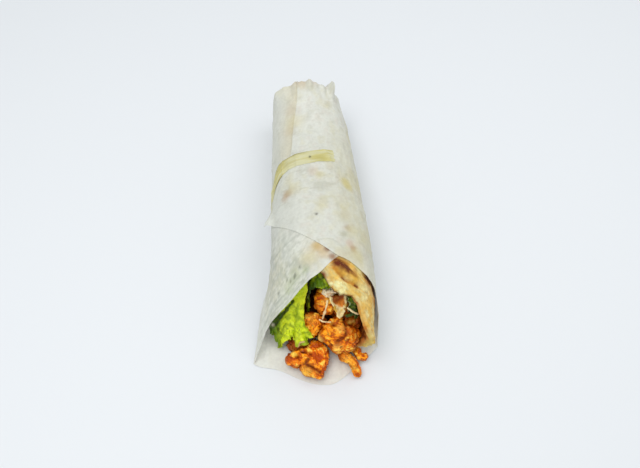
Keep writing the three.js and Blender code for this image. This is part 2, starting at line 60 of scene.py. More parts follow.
MM_PER_DEGREE = 0.58  # round the roll, on average


# Curves and noise


def lerp(a, b, t):
    return a + (b - a) * t


def ramp(x, low, high):
    """A smooth rise from 0 at low to 1 at high."""
    t = np.clip((x - low) / (high - low), 0, 1)
    return t * t * (3 - 2 * t)


def fade(x, low, high):
    return 1 - ramp(x, low, high)


def between(x, rise, fall):
    return ramp(x, *rise) * fade(x, *fall)


def bell(x):
    return np.exp(-np.square(x))


def through(*stations):
    """A smooth curve through (place, value) stations, flat beyond both ends."""
    places, values = np.array(stations, float).T
    slopes = np.zeros_like(values)
    slopes[1:-1] = (values[2:] - values[:-2]) / (places[2:] - places[:-2])

    def curve(place):
        i = np.clip(np.searchsorted(places, place), 1, len(places) - 1)
        span = places[i] - places[i - 1]
        t = np.clip((place - places[i - 1]) / span, 0, 1)
        lean = span * t * (1 - t) * (slopes[i - 1] * (1 - t) - slopes[i] * t)
        return lerp(values[i - 1], values[i], t * t * (3 - 2 * t)) + lean

    return curve


def distance(points, place):
    return np.linalg.norm(points - place, axis=-1)


CELLS = 64
SEED_STEP = 17.3
LATTICE = np.random.default_rng(20).uniform(-1, 1, (CELLS, CELLS, CELLS))


def noise(points, size=1.0, seed=0.0):
    """Smooth noise from -1 to 1 with lumps of a size, or of one size for each axis."""
    places = points / np.asarray(size, float) + SEED_STEP * seed
    cell = np.floor(places).astype(int)
    i, j, k = np.moveaxis(cell, -1, 0)
    t = places - cell
    x, y, z = np.moveaxis(t * t * t * (t * (6 * t - 15) + 10), -1, 0)

    def edge(b, c):
        ends = [LATTICE[(i + a) % CELLS, (j + b) % CELLS, (k + c) % CELLS] for a in (0, 1)]
        return lerp(*ends, x)

    return lerp(lerp(edge(0, 0), edge(1, 0), y), lerp(edge(0, 1), edge(1, 1), y), z)


def stacked(x, y, z):
    return np.stack(np.broadcast_arrays(x, y, z), axis=-1).astype(float)


def noise_at(x, y, z):
    return noise(stacked(x, y, z))


def swayed(points, size, seed):
    """Noise along each of the three axes."""
    return np.stack([noise(points, size, seed + n) for n in range(3)], axis=-1)


def fractal(points, size, octaves, seed):
    """Noise summed over ever finer lumps."""
    layers = [0.5**n * noise(points, np.asarray(size) * 0.5**n, seed + n) for n in range(octaves)]
    return sum(layers) / 1.5


def ridges(points, size, sharpness, seed):
    """Thin winding ridges, 1 along their crests."""
    return (1 - np.abs(noise(points, size, seed))) ** sharpness


SCATTER = np.random.default_rng(21).uniform(0, 1, (CELLS, CELLS, CELLS, 3))


def cells(points, size, seed):
    """Distances to the nearest and the second nearest of scattered spots, in shares of their pitch."""
    places = points / np.asarray(size, float) + SEED_STEP * seed
    home = np.floor(places).astype(int)
    distances = []
    for step in itertools.product((-1, 0, 1), repeat=3):
        cell = home + step
        spot = cell + SCATTER[tuple(np.moveaxis(cell % CELLS, -1, 0))]
        distances.append(distance(places, spot))
    return np.partition(np.stack(distances), 1, axis=0)[:2]


def facets(points, pitch, seed):
    """Flat facets that meet in sharp creases, from about -1 to 1."""
    ways = np.random.default_rng(seed).normal(size=(4, 3))
    total = -2.0
    for n, way in enumerate(ways):
        place = points @ way / np.linalg.norm(way) / pitch + 0.35 * noise(points, pitch, seed + n)
        total = total + np.abs(place % 1 * 2 - 1)
    return total


def joined(*stretches):
    """Evenly spaced places in stretches, each given by its start, its end and their number."""
    return np.concatenate([np.linspace(*stretch) for stretch in stretches])


def shares(*places):
    """Grids of shares across and along a sheet, told one by one or by their number from 0 to 1."""
    spread = [np.linspace(0, 1, place) if isinstance(place, int) else place for place in places]
    return np.meshgrid(*spread, indexing="ij")


def rounded(depth, reach):
    """From 0 at an edge to 1 at a reach inside it, along a quarter of a circle."""
    return np.sqrt(1 - (1 - np.clip(depth / reach, 0, 1)) ** 2)


def bent(start, bend, end, t):
    """Points on the curve from start to end that is drawn towards bend."""
    t = np.asarray(t)[..., None]
    return (1 - t) ** 2 * start + 2 * t * (1 - t) * bend + t * t * end


def near_line(points, start, end):
    """Distance from the straight line between two places, and the share along it."""
    way = end - start
    share = np.clip((points - start) @ way / (way @ way), 0, 1)
    return distance(points, start + share[..., None] * way), share


def near_path(points, path):
    """Distance from a path of straight lines through the given places."""
    path = np.array(path, float)
    return np.min([near_line(points, *ends)[0] for ends in zip(path[:-1], path[1:])], axis=0)


# Colours


def srgb(red, green, blue):
    """The linear colour of a screen colour given from 0 to 255."""
    share = np.array([red, green, blue]) / 255
    return np.where(share <= 0.04045, share / 12.92, ((share + 0.055) / 1.055) ** 2.4)


def layered(tint, *layers):
    """A tint with other colours laid over it in order, each by its share at every point."""
    for colour, share in layers:
        share = np.clip(share, 0, 1)[..., None]
        tint = tint * (1 - share) + colour * share
    return tint


# Meshes


def normals_of(grid):
    """The direction square to a grid of points, at each point."""
    across = np.cross(np.gradient(grid, axis=0), np.gradient(grid, axis=1))
    return across / np.maximum(np.linalg.norm(across, axis=-1, keepdims=True), 1e-9)


def pushed(grid, out):
    """A grid of points moved out along its normals."""
    return grid + normals_of(grid) * np.asarray(out)[..., None]


def grid_solid(outer, inner):
    """Points and faces of the closed solid between two grids of points."""
    index = np.arange(2 * outer[..., 0].size).reshape(2, *outer.shape[:2])

    def quads(side):
        return np.stack([side[:-1, :-1], side[1:, :-1], side[1:, 1:], side[:-1, 1:]], axis=-1)

    def strip(first, second):
        return np.stack([first[:-1], second[:-1], second[1:], first[1:]], axis=-1)

    out, back = index
    parts = [
        quads(out),
        quads(back)[..., ::-1],
        strip(out[:, 0], back[:, 0]),
        strip(back[:, -1], out[:, -1]),
        strip(back[0], out[0]),
        strip(out[-1], back[-1]),
    ]
    faces = np.concatenate([part.reshape(-1, 4) for part in parts])
    points = np.concatenate([outer.reshape(-1, 3), inner.reshape(-1, 3)])
    a, b, c, d = (points[faces[:, n]] for n in range(4))
    volume = np.einsum("ij,ij->", np.cross(c - a, d - b), a + b + c + d)
    return points + AXIS, faces if volume > 0 else faces[:, ::-1]


def linked(name, data):
    """A new object in the scene."""
    thing = bpy.data.objects.new(name, data)
    bpy.context.scene.collection.objects.link(thing)
    return thing


def add_piece(name, node, points, faces, tint, look, sharp_angle):
    """A piece of the finished roll that stands for a solid."""
    mesh = bpy.data.meshes.new(name)
    mesh.from_pydata(points * MM, [], faces.tolist())
    mesh.set_sharp_from_angle(angle=math.radians(sharp_angle))
    colours = mesh.color_attributes.new("tint", "FLOAT_COLOR", "POINT")
    colours.data.foreach_set("color", np.column_stack([tint, np.ones(len(tint))]).ravel())
    mesh.materials.append(look)
    piece = linked(name, mesh)
    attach(piece, "root")
    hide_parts(node)


def add_sheet(name, node, outer, inner, look, tint, inner_tint=None):
    """A piece between two grids of points, with a crease wherever it turns sharply."""
    inner_tint = tint if inner_tint is None else inner_tint
    tints = np.concatenate([tint.reshape(-1, 3), inner_tint.reshape(-1, 3)])
    add_piece(name, node, *grid_solid(outer, inner), tints, look, sharp_angle=50)


def finer(node, levels):
    """Points, normals and faces of a solid that is joined at its corners and subdivided."""
    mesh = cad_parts[node].data.copy()
    work = bmesh.new()
    work.from_mesh(mesh)
    bmesh.ops.remove_doubles(work, verts=work.verts, dist=0.001 * MM)
    work.to_mesh(mesh)
    work.free()
    rough = linked("rough", mesh)
    split = rough.modifiers.new("facets", "SUBSURF")
    split.subdivision_type = "SIMPLE"
    split.levels = 1
    rough.modifiers.new("rounding", "SUBSURF").levels = levels
    fine = rough.evaluated_get(bpy.context.evaluated_depsgraph_get()).to_mesh()
    points, normals = (np.empty(3 * len(fine.vertices), np.float32) for _ in range(2))
    fine.vertices.foreach_get("co", points)
    fine.vertex_normals.foreach_get("vector", normals)
    faces = np.empty(len(fine.loops), np.int32)
    fine.loops.foreach_get("vertex_index", faces)
    bpy.data.objects.remove(rough)
    bpy.data.meshes.remove(mesh)
    return points.reshape(-1, 3).astype(float) / MM, normals.reshape(-1, 3), faces.reshape(-1, 4)


# Materials

MIX_A, MIX_B, MIX_RESULT = 6, 7, 2  # the colour sockets of a Mix node


def connect(tree, node, inputs):
    """Sets inputs of a shader node to values or to other nodes' outputs."""
    for key, value in inputs.items():
        if isinstance(value, bpy.types.NodeSocket):
            tree.links.new(value, node.inputs[key])
        else:
            node.inputs[key].default_value = value


class Look:
    """A material whose colour is the mesh's tint, with fine noise in its colour, relief and roughness."""

    def __init__(self, name):
        self.material = bpy.data.materials.new(name)
        self.material.use_nodes = True
        self.tree = self.material.node_tree
        self.place = self.node("TexCoord", "Object")
        self.colour = self.node("Attribute", "Color", attribute_name="tint")
        self.normal = None

    def node(self, kind, output, inputs=(), **settings):
        """An output of a new shader node with inputs and settings."""
        made = self.tree.nodes.new("ShaderNode" + kind)
        for key, value in settings.items():
            setattr(made, key, value)
        connect(self.tree, made, dict(inputs))
        return made.outputs[output]

    def noise(self, size, detail=4, stretch=(1, 1, 1), kind="FBM"):
        """Noise with lumps of a size in millimetres, drawn out by a factor along each axis."""
        scale = {"Vector": self.place, "Scale": [1 / factor for factor in stretch]}
        place = self.node("Mapping", "Vector", scale)
        inputs = {"Vector": place, "Scale": 1 / (size * MM), "Detail": detail}
        return self.node("TexNoise", "Fac", inputs, noise_type=kind)

    def spots(self, pitch):
        """Distance from the nearest of many scattered points, in shares of their pitch in millimetres."""
        inputs = {"Vector": self.place, "Scale": 1 / (pitch * MM)}
        return self.node("TexVoronoi", "Distance", inputs)

    def ranged(self, value, low, high, to_low, to_high):
        """A value spread from one range to another, flat beyond both ends."""
        inputs = {"Value": value, "From Min": low, "From Max": high, "To Min": to_low, "To Max": to_high}
        return self.node("MapRange", "Result", inputs)

    def mixed(self, colour, share):
        """Mixes a colour in by a share that varies over the surface."""
        inputs = {"Factor": share, MIX_A: self.colour, MIX_B: (*colour, 1)}
        self.colour = self.node("Mix", MIX_RESULT, inputs, data_type="RGBA")

    def mottled(self, darkest, lightest, size, **lumps):
        """Darkens and lightens the colour by noise."""
        grey = self.ranged(self.noise(size, **lumps), 0.3, 0.7, darkest, lightest)
        inputs = {"Factor": 1.0, MIX_A: self.colour, MIX_B: grey}
        self.colour = self.node("Mix", MIX_RESULT, inputs, data_type="RGBA", blend_type="MULTIPLY")

    def relief(self, depth, size, **lumps):
        """Raises the surface by noise of a depth in millimetres."""
        inputs = {"Height": self.noise(size, **lumps), "Distance": depth * MM}
        if self.normal:
            inputs["Normal"] = self.normal
        self.normal = self.node("Bump", "Normal", inputs)

    def done(self, size, spread, roughness, sockets):
        """Joins everything to the surface. A spread of noise is turned into a range of roughness."""
        gloss = self.ranged(self.noise(size), *spread, *roughness)
        inputs = {"Base Color": self.colour, "Roughness": gloss, "Normal": self.normal, **sockets}
        connect(self.tree, self.tree.nodes["Principled BSDF"], inputs)
        return self.material


TOAST_BROWN = srgb(206, 150, 60)
SEAR_RED = srgb(178, 62, 0)
SPICE_BROWN = srgb(120, 44, 8)


def paper_look():
    look = Look("butter_paper")
    look.mottled(0.96, 1.03, 14, detail=6)
    look.mottled(0.95, 1.05, 1.8, detail=3)
    look.relief(0.12, 9, detail=3, stretch=(1, 2.4, 1), kind="RIDGED_MULTIFRACTAL")
    look.relief(0.05, 0.9, detail=5)
    return look.done(20, (0.3, 0.7), (0.42, 0.6), {"Alpha": 0.68, "Specular IOR Level": 0.3})


def tape_look():
    look = Look("yellow_tape")
    look.mottled(0.93, 1.05, 5, stretch=(3, 1, 3))
    look.relief(0.12, 4, detail=3, stretch=(2.5, 1, 2.5))
    return look.done(8, (0.3, 0.7), (0.25, 0.42), {"Alpha": 0.6, "Specular IOR Level": 0.35})


def bread_look():
    look = Look("pan_fried_bread")
    look.mottled(0.78, 1.12, 2.2, detail=6)
    look.mixed(TOAST_BROWN, look.ranged(look.noise(3.4, detail=5), 0.55, 0.75, 0, 0.6))
    look.relief(0.35, 3.2, detail=5)
    look.relief(0.10, 0.7)
    return look.done(3, (0.35, 0.65), (0.45, 0.7), {"Specular IOR Level": 0.25})


def chicken_look():
    look = Look("spiced_chicken")
    look.mottled(0.8, 1.45, 0.9, detail=6)
    look.mixed(SEAR_RED, look.ranged(look.noise(1.5, detail=5), 0.53, 0.68, 0, 0.6))
    look.mixed(SPICE_BROWN, look.ranged(look.spots(2.6), 0.05, 0.11, 0.6, 0))
    look.relief(0.30, 1.2, detail=6)
    look.relief(0.08, 0.4, detail=3)
    return look.done(1.4, (0.35, 0.65), (0.28, 0.6), {"Specular IOR Level": 0.2})


def lettuce_look():
    look = Look("lettuce_leaf")
    look.mottled(0.86, 1.10, 1.6, detail=5)
    look.relief(0.25, 2.0)
    look.relief(0.06, 0.6, detail=3)
    return look.done(3, (0.35, 0.65), (0.35, 0.55), {"Specular IOR Level": 0.25, "Subsurface Weight": 0.1})


def pale_look():
    look = Look("pale_moist_shreds")
    look.mottled(0.96, 1.06, 1.0)
    look.relief(0.12, 0.8)
    return look.done(1.5, (0.35, 0.65), (0.3, 0.5), {"Subsurface Weight": 0.1})


# The roll, a flattened cone

left_slim = through((-75, 0), (-45, 0.045), (-20, 0.05), (20, 0.035), (60, 0.02), (110, 0.02))


def half_width(y):
    return FAR_HALF_WIDTH + TAPER * (HALF_LENGTH - y)


def middle_z(y):
    return FLATNESS * half_width(y) + BED - PRESSED


def on_roll(angle, y, out):
    """Points outside the bread by `out`, on the roll's section at y."""
    aside = np.cos(np.radians(angle))
    pinch = PINCH["share"] * ramp(-y, *PINCH["over"])
    pinch += FAR_PINCH["share"] * ramp(y, *FAR_PINCH["over"])
    squeeze = 1 - np.where(aside > 0, pinch, left_slim(y))
    x = (half_width(y) * squeeze + out) * aside
    z = middle_z(y) + (FLATNESS * half_width(y) + out) * np.sin(np.radians(angle))
    return stacked(x, y, np.maximum(BED - out, z))


def turned(angle, at):
    """Degrees round the roll from a place, between -180 and 180."""
    return (angle - at + 180) % 360 - 180


def apart(angle, y, mark):
    """Distance round and along the roll from a mark's angle and y, in millimetres."""
    return np.hypot(turned(angle, mark[0]) * MM_PER_DEGREE, y - mark[1])


def laid_flat(marks):
    """Millimetres round and along the roll, from angle and y."""
    return np.array(marks) * np.array([MM_PER_DEGREE, 1])


# Paratha

BREAD_END_Y = 104
DROOP = {"depth": 6, "over": (54, 80)}
LEAN = {"depth": 4.5, "over": (66, 98)}
CORNER_ANGLE = 95
LIP_ROUND = 1.1  # how far in from its edge the lip is rounded
UNDER_PAPER = -0.25  # where the paper covers the bread, it stays this far in
GRAIN = np.array([-0.87, -0.49])  # the way that the bread's layers run, round and along the roll
hidden_edge = through((0, -138), (0.35, -150), (1, -160))
free_edge = through((0, CORNER_ANGLE), (0.1, 112), (0.25, 140), (0.4, 168), (0.56, 190), (1, 190))
lip = through(
    (-160, -66), (-90, -84), (-45, -93), (-10, -98), (18, -98), (30, -94), (36, -90), (42, -84), (48, -78),
    (54, -76), (64, -75), (72, -74), (78, -72.5), (84, -68.8), (CORNER_ANGLE, -60),
)
# Marks on the bread by angle and y
BLISTER = ((72, -57.5), (57, -64.5))
BLISTER_GOLD = ((72, -56), (55, -64))
BLISTER_BURN = ((74, -54.8), (56, -62.6))
BLISTER_CREASE = ((79, -58.5), (76, -60.5), (68, -66), (52, -69))
TOAST_BY_FLAP = ((92, -38), (80, -46))
CORNER_MARK = (CORNER_ANGLE - 4, lip(CORNER_ANGLE) - 2.5)
BLISTER_HEIGHT = 2.3
BLISTER_SPREAD = 3.4
PALE_DOUGH = srgb(228, 223, 164)
GOLD_DOUGH = srgb(222, 174, 62)
ORANGE_DOUGH = srgb(212, 154, 48)
LIP_DOUGH = srgb(222, 200, 112)
TOASTED = srgb(178, 104, 18)
CORNER_BROWN = srgb(116, 44, 14)
BURNT = srgb(98, 36, 0)
SAUCED = srgb(196, 100, 20)
DEEP_SAUCE = srgb(92, 38, 10)


def free_edge_at(y):
    corner = lip(CORNER_ANGLE)
    return free_edge(np.clip((y - corner) / (BREAD_END_Y - corner), 0, 1))


def layer_streaks(angle, y):
    """Long thin streaks along the bread's layers, from -1 to 1."""
    round_roll = angle * MM_PER_DEGREE
    along = GRAIN[0] * round_roll + GRAIN[1] * y
    across = GRAIN[0] * y - GRAIN[1] * round_roll
    wander = across + 1.5 * noise_at(along / 14, across / 9, 2)
    return 0.6 * noise_at(along / 9, wander / 1.5, 3) + 0.6 * noise_at(along / 5, wander / 0.7, 4)


def lip_layers(lip_depth, points):
    """Waves over the lip's thickness, from -1 to 1."""
    return np.sin(lip_depth * 21 + 2 * noise(points, 6, 4))


def bread_tint(angle, y, points, inside, lip_depth):
    """Pale dough with golden clouds, toasted marks on the blister and rim, sauce on the inside, and
    painted shade along the paper's edge and deep inside.
    """
    flat = laid_flat(np.stack([angle, y], axis=-1))
    right = fade(angle + 4 * noise(points, 6, 20), 32, 66)
    cracks = ramp(ridges(points, 6, 8, 8), 0.6, 1.0) * ramp(noise(points, 9, 4), -0.1, 0.4)
    streaks = layer_streaks(angle, y)
    gold = near_path(flat, laid_flat(BLISTER_GOLD))
    burn, along = near_line(flat, *laid_flat(BLISTER_BURN))
    burn = burn * (1 + 0.4 * fractal(points, 4, 3, 5))
    charred = fade(burn / lerp(3.6, 1.8, along), 0.5, 1.3)
    crease = near_path(flat, laid_flat(BLISTER_CREASE)) + 0.4 * noise(points, 3, 6)
    before_paper = 0.75 * (front_edge(angle + 360) - y) + 0.5 * noise(points, 3, 17)
    rim = between(angle, (-30, -15), (33, 45))
    toasted_rim = bell(before_paper / 4.5) * ramp(angle, -4, 8) * (0.8 + 0.4 * noise(points, 4, 7))
    gilded = bell(0.5 * (y - lip(angle)) / 2.4) * bell((angle - 38) / 10)
    by_flap = near_path(flat, laid_flat(TOAST_BY_FLAP))
    toasted_lip = bell((lip_depth - 0.5) / 0.2) * between(angle, (42, 52), (76, 88))
    flaky = bell((lip_depth - 0.5) / 0.33) * ramp(lip_layers(lip_depth, points), -0.2, 0.8)
    sauce = ramp(fractal(points, 9, 4, 9), -0.4, 0.2) * fade(angle, 40, 70)
    smear = ramp(lip_depth + 0.15 * fractal(points, 4, 3, 12), 0.22, 0.45) * fade(angle, 18, 36)
    deep = ramp(fractal(points, 4, 3, 14) + 0.06 * (y + 94), -0.2, 0.4)
    return layered(
        PALE_DOUGH,
        (GOLD_DOUGH, 0.7 * ramp(fractal(points, 6, 5, 1), -0.08, 0.3)),
        (ORANGE_DOUGH, 0.3 * right),
        (TOASTED, 0.5 * cracks),
        (GOLD_DOUGH, 0.4 * ramp(streaks, 0.05, 0.6)),
        (PALE_DOUGH, 0.5 * ramp(-streaks, 0.1, 0.5) * (1 - 0.6 * right)),
        (TOASTED, 0.2 * ramp(streaks + 0.5 * noise(points, 8, 19), 0.45, 0.9)),
        (GOLD_DOUGH, 0.95 * bell(gold / 6)),
        (TOASTED, 0.95 * bell(burn / lerp(4.6, 2.6, along)) * (1 - 0.4 * along)),
        (BURNT, charred * (1 - 0.7 * ramp(along, 0.6, 1))),
        (TOASTED, 0.7 * bell(crease)),
        (BURNT, 0.9 * bell(crease / 0.6) * ramp(noise(points, 4, 16), -0.6, -0.1)),
        (TOASTED, 0.35 * ramp(fractal(points, 5, 4, 3), 0.3, 0.6)),
        (TOASTED, 0.85 * rim * toasted_rim),
        # a dark line where the paper meets the bread: partly a burnt edge, partly painted shadow of the
        # gap under the paper
        (BURNT * 0.5, 0.95 * rim * fade(before_paper, 0.3, 1.3)),
        (ORANGE_DOUGH, 0.7 * gilded),
        (TOASTED, 0.9 * bell(by_flap / 3)),
        (TOASTED, 0.85 * toasted_lip * ramp(noise(points, 3, 18), -0.6, 0.1)),
        (GOLD_DOUGH * 0.8, 0.6 * flaky),
        (CORNER_BROWN, 0.95 * bell(apart(angle, y, CORNER_MARK) / 3)),
        (SAUCED, 0.85 * inside * sauce),
        (SAUCED, 0.8 * smear),
        (DEEP_SAUCE, 0.9 * smear * deep),
        (LIP_DOUGH, 0.85 * smear * fade(y, -97.5, -92)),
        # darker deep inside the roll: partly sauce, partly painted shade
        (DEEP_SAUCE, 0.9 * inside * ramp(y, -84, -70)),
    )


def paratha():
    """A thick sheet rolled round the filling with a flaky round lip, open at the top left of the mouth."""
    columns = joined((0, 0.49, 36), (0.4925, 0.97, 175), (0.973, 1, 9))
    rows = joined((0, 0.025, 12), (0.0275, 0.29, 115), (0.305, 1, 36))
    u, along = shares(columns, rows)
    angle = lerp(hidden_edge(along), free_edge(along), u)
    ragged = 0.6 * noise_at(angle / 7, 3, 1) + 0.6 * noise_at(angle / 2.2, 5, 2)
    y = lerp(lip(angle) + ragged, BREAD_END_Y, along)
    from_free = (free_edge(along) - angle) * MM_PER_DEGREE
    nearest = np.minimum(y - y[:, :1], from_free)
    roundness = rounded(nearest, LIP_ROUND)
    base = on_roll(angle, y, 0)
    flat = laid_flat(np.stack([angle, y], axis=-1))
    blister = near_path(flat, laid_flat(BLISTER))
    crease = near_path(flat, laid_flat(BLISTER_CREASE))
    mouth = ramp(-y, 30, 60)
    bumps = BLISTER_HEIGHT * bell(blister / BLISTER_SPREAD) - bell(crease / 0.9)
    bumps += (0.45 * fractal(base, 9, 4, 2) + 0.3 * ridges(base, 6, 3, 8) - 0.3) * (0.3 + mouth)
    bumps += (0.3 * layer_streaks(angle, y) + 0.2 * ridges(base, 2.2, 3, 31)) * mouth
    paper_edge = np.minimum(front_edge(angle), front_edge(angle + 360))
    bumps = lerp(bumps, np.minimum(bumps, UNDER_PAPER), ramp(y - paper_edge, -1.5, 1.5))
    upwards = np.maximum(0, np.sin(np.radians(angle)))
    rightwards = np.maximum(0, np.cos(np.radians(angle)))
    edge = 0.5 * (1 - roundness)
    hollows = 0.7 * fractal(base, 7, 4, 6) * mouth
    faces, tints = [], []
    for inside, lip_depth, out in ((0, edge, bumps), (1, 1 - edge, hollows)):
        face = on_roll(angle, y, out - BREAD * lip_depth)
        face[..., 2] -= DROOP["depth"] * upwards * ramp(-y, *DROOP["over"])
        face[..., 0] -= LEAN["depth"] * rightwards * ramp(-y, *LEAN["over"])
        face[..., 1] -= 0.5 * lip_layers(lip_depth, base) * (1 - roundness) * mouth
        faces.append(face)
        tints.append(bread_tint(angle, y, base + 40 * inside, inside, lip_depth))
    add_sheet("flatbread", "paratha", *faces, bread_look(), *tints)


# Butter paper

SHEET_START = 30
SHEET_END = 532
CLIMB = (335, 386)  # where the sheet climbs onto its own first layer
CREASE = 205  # where the left side is folded
FOLD = {"x": -41, "y": -56, "z": 14, "aside": 0.19, "rise": 0.33}  # a place on that fold, and its slopes
LET_GO = {"over": (10, 72), "margin": 8, "puff": np.array([-1.5, 0, 2.5])}
SPREAD = {"over": (72, 96), "x": 34, "z": BED + 1.5, "angle": 335}
RIM_Y = 106
TUBE_SHARE = 0.8  # of the rows, before the far end
TUBE_ROWS = 1.35  # how much closer they lie towards the mouth
END = {"bulge": 3.6, "dimple": 1.5, "hole": 0.004, "turn": 2.4, "gather": 1.6}
PLEAT = {"degrees": 24, "depth": 2.2}
# Angle, spread and height of the folds at the back rim
EARS = (
    (45, 5, 10.5), (62, 10, 2.5), (75, 6, 2.6), (85, 8, 7.2), (97, 8, 3.4), (107, 9, 5.5), (128, 20, 5),
    (147, 18, 4.5),
)
EAR_LENGTH = 12
CRUMPLE_RADIUS = 30
FLARE = {"out": 4.5, "angles": (510, SHEET_END), "y": (-9, 2)}  # the sheet's last corner, standing off
FLAP_FOLDS = ((4.5, 0.5), (9, 0.7), (15, 0.6), (24, 0.5))  # distance from the front edge, and height
front_edge = through(
    (SHEET_START, -36), (75, -51), (96, -62.5), (108, -67.2), (120, -69.8), (142, -74.5), (160, -77.4),
    (172, -79.2), (182, -83), (190, -88), (199, -93), (206, -97), (237, -102), (268, -HALF_LENGTH),
    (300, -106), (335, -92), (358, -82), (372, -71), (385, -65), (396, -61), (406, -57.8), (420, -53.4),
    (435, -49.2), (453, -40), (483, -26), (512, -16), (SHEET_END, -10),
)
seam = through((0, SHEET_END), (0.25, 510), (0.43, 484), (0.7, 474), (1, 465))


def seam_at(y):
    """The angle of the sheet's last edge at a place along the roll."""
    rows = np.linspace(0, 1, 60)
    return np.interp(y, lerp(front_edge(seam(rows)), RIM_Y, rows), seam(rows))


def crease_point(y):
    along = y - FOLD["y"]
    z = np.maximum(BED, FOLD["z"] + FOLD["rise"] * along)
    return stacked(FOLD["x"] + FOLD["aside"] * along, y, z)


def loose_side(angle, y):
    """The left side let go at the mouth: straight down to the crease, then under the roll."""
    start = free_edge_at(y) + LET_GO["margin"]
    fold = crease_point(y)
    share = ((angle - start) / (CREASE - start))[..., None]
    upper = lerp(on_roll(start, y, 0), fold, share)
    upper += LET_GO["puff"] * np.sin(share * np.pi)
    low = stacked(0.8 * fold[..., 0], y, BED)
    lower = bent(fold, low, on_roll(270, y, 0), (angle - CREASE) / (270 - CREASE))
    loose = np.where(share > 1, lower, upper)
    return np.where(share <= 0, on_roll(angle, y, 0), loose)


def spread_side(angle, y):
    """The right side spread out flat in front of the mouth, then up beside the bread."""
    side = stacked(SPREAD["x"], y, SPREAD["z"])
    share = ((angle - 270) / (SPREAD["angle"] - 270))[..., None]
    rise = ((angle - SPREAD["angle"]) / (360 - SPREAD["angle"]))[..., None]
    flat = lerp(on_roll(270, y, 0), side, share)
    return np.where(share < 1, flat, lerp(side, on_roll(0, y, 0), rise))


def under_paper(angle, y):
    """The surface that the paper follows."""
    place = angle % 360
    course = on_roll(place, y, 0)
    opened = ramp(-y, *SPREAD["over"]) * (place >= 270)
    course = lerp(course, spread_side(place, y), opened[..., None])
    let_go = ramp(-y, *LET_GO["over"]) * (place > 60) * (place < 270)
    return lerp(course, loose_side(place, y), let_go[..., None])


def crumple(angle, y):
    """How far the paper's creases stand out, alike for both its layers."""
    turn = np.radians(angle)
    place = stacked(CRUMPLE_RADIUS * np.cos(turn), y, CRUMPLE_RADIUS * np.sin(turn))
    soft = 0.45 * fractal(place, (14, 30, 14), 3, 11)
    long_folds = 0.5 * ridges(place, (10, 46, 10), 8, 12)
    short_folds = 0.4 * ridges(place, (16, 15, 16), 10, 13)
    return np.maximum(soft + long_folds + short_folds - 0.25, -0.45)


def flap_folds(angle, y):
    """Creases along the front edge of the left flap, and its edge curled out a little."""
    behind = y - front_edge(angle) + 1.2 * noise_at(angle / 14, y / 20, 5)
    folds = sum(height * bell((behind - place) / 0.9) for place, height in FLAP_FOLDS)
    return between(angle, (92, 112), (185, 205)) * (folds + 0.9 * bell(behind / 4))


def end_folds(angle, y, end):
    """How far the pleats of the far end stand out, and how high the ears on its rim are."""
    pleat = np.abs(((angle / PLEAT["degrees"] + 0.25 * noise_at(angle / 40, 1, 1)) % 1) * 2 - 1) - 0.5
    gathered = ramp(end, 0.02, 0.3) * (1 - 0.7 * ramp(end, 0.6, 1))
    out = END["bulge"] * np.sin(np.pi / 2 * np.minimum(1, END["turn"] * end)) - END["dimple"] * end
    out += PLEAT["depth"] * pleat * gathered
    ears = sum(
        height * np.exp(-1.3 * np.abs(turned(angle, at) / spread) ** 1.2) for at, spread, height in EARS
    )
    return out, ears * ramp(y + out, RIM_Y - EAR_LENGTH, RIM_Y) * fade(end, 0.1, 0.5)


SHEET_WHITE = srgb(228, 229, 219)
# near-white paper; on the inner face towards the mouth it serves as painted light
PAPER_WHITE_AND_PAINTED_LIGHT = srgb(250, 250, 242)
OIL_YELLOW = srgb(218, 206, 146)
DEEP_YELLOW = srgb(213, 201, 104)
GREY_GREEN = srgb(196, 200, 191)
FLAP_GREY_AND_FOLD_SHADE = srgb(180, 184, 172)
OLIVE_GREY = srgb(194, 192, 172)
SEAM_BEIGE = srgb(222, 212, 178)
SEAM_SHADE = srgb(160, 152, 128)
SEEN_BROWN = srgb(184, 148, 100)
SEEN_PINK = srgb(216, 190, 168)
SEEN_GREEN = srgb(150, 168, 96)
STAIN = srgb(232, 200, 168)
PEPPER = srgb(48, 42, 34)
CRUMB = srgb(120, 72, 66)
FLECK = srgb(62, 70, 44)
# What shows through the paper: angle, y, size in mm, colour and strength.
SEEN_THROUGH = (
    (50, 12.5, 5.5, OIL_YELLOW, 0.9),
    (46, 9, 4.5, OIL_YELLOW, 0.7),
    (127, 5, 5, SEEN_BROWN, 0.5),
    (131, 2, 4, SEEN_BROWN, 0.45),
    (118, 8, 7, OIL_YELLOW, 0.35),
    (92, 20, 5, SEEN_PINK, 0.4),
    (84, 16, 5, OIL_YELLOW, 0.5),
    (57, -40, 4.5, SEEN_PINK, 0.7),
    (54, -43, 3.4, SEEN_BROWN, 0.6),
    (58, -27, 3.6, SEEN_BROWN, 0.4),
    (64, -33, 3.6, OLIVE_GREY, 0.7),
    (60, -18, 8, OIL_YELLOW, 0.3),
    (52, -28, 6, OIL_YELLOW, 0.4),
    (48, -48, 7, OIL_YELLOW, 0.4),
    (109, -57.5, 4, SEEN_GREEN, 0.5),
    (126, -58, 6, SEEN_GREEN, 0.25),
    (138, -63, 6, SEEN_GREEN, 0.3),
    (112, 70, 10, OIL_YELLOW, 0.35),
    (121, 62, 7, SEEN_BROWN, 0.18),
    (118, 84, 8, SEEN_BROWN, 0.2),
    (98, 108, 7, SEEN_PINK, 0.45),
    (80, 109, 6, SEEN_PINK, 0.4),
    (88, 112, 6, SEEN_BROWN, 0.25),
)
# The bread's top seen through the flap alone, told in the same way.
SEEN_THROUGH_FLAP = (
    (94, -42, 5, srgb(214, 180, 104), 0.8),
    (88, -47, 6, srgb(222, 196, 150), 0.7),
    (82, -44.5, 3.4, srgb(128, 74, 40), 0.9),
    (79, -50.5, 3.2, srgb(150, 92, 48), 0.8),
    (104, -50, 7, srgb(224, 212, 166), 0.6),
)
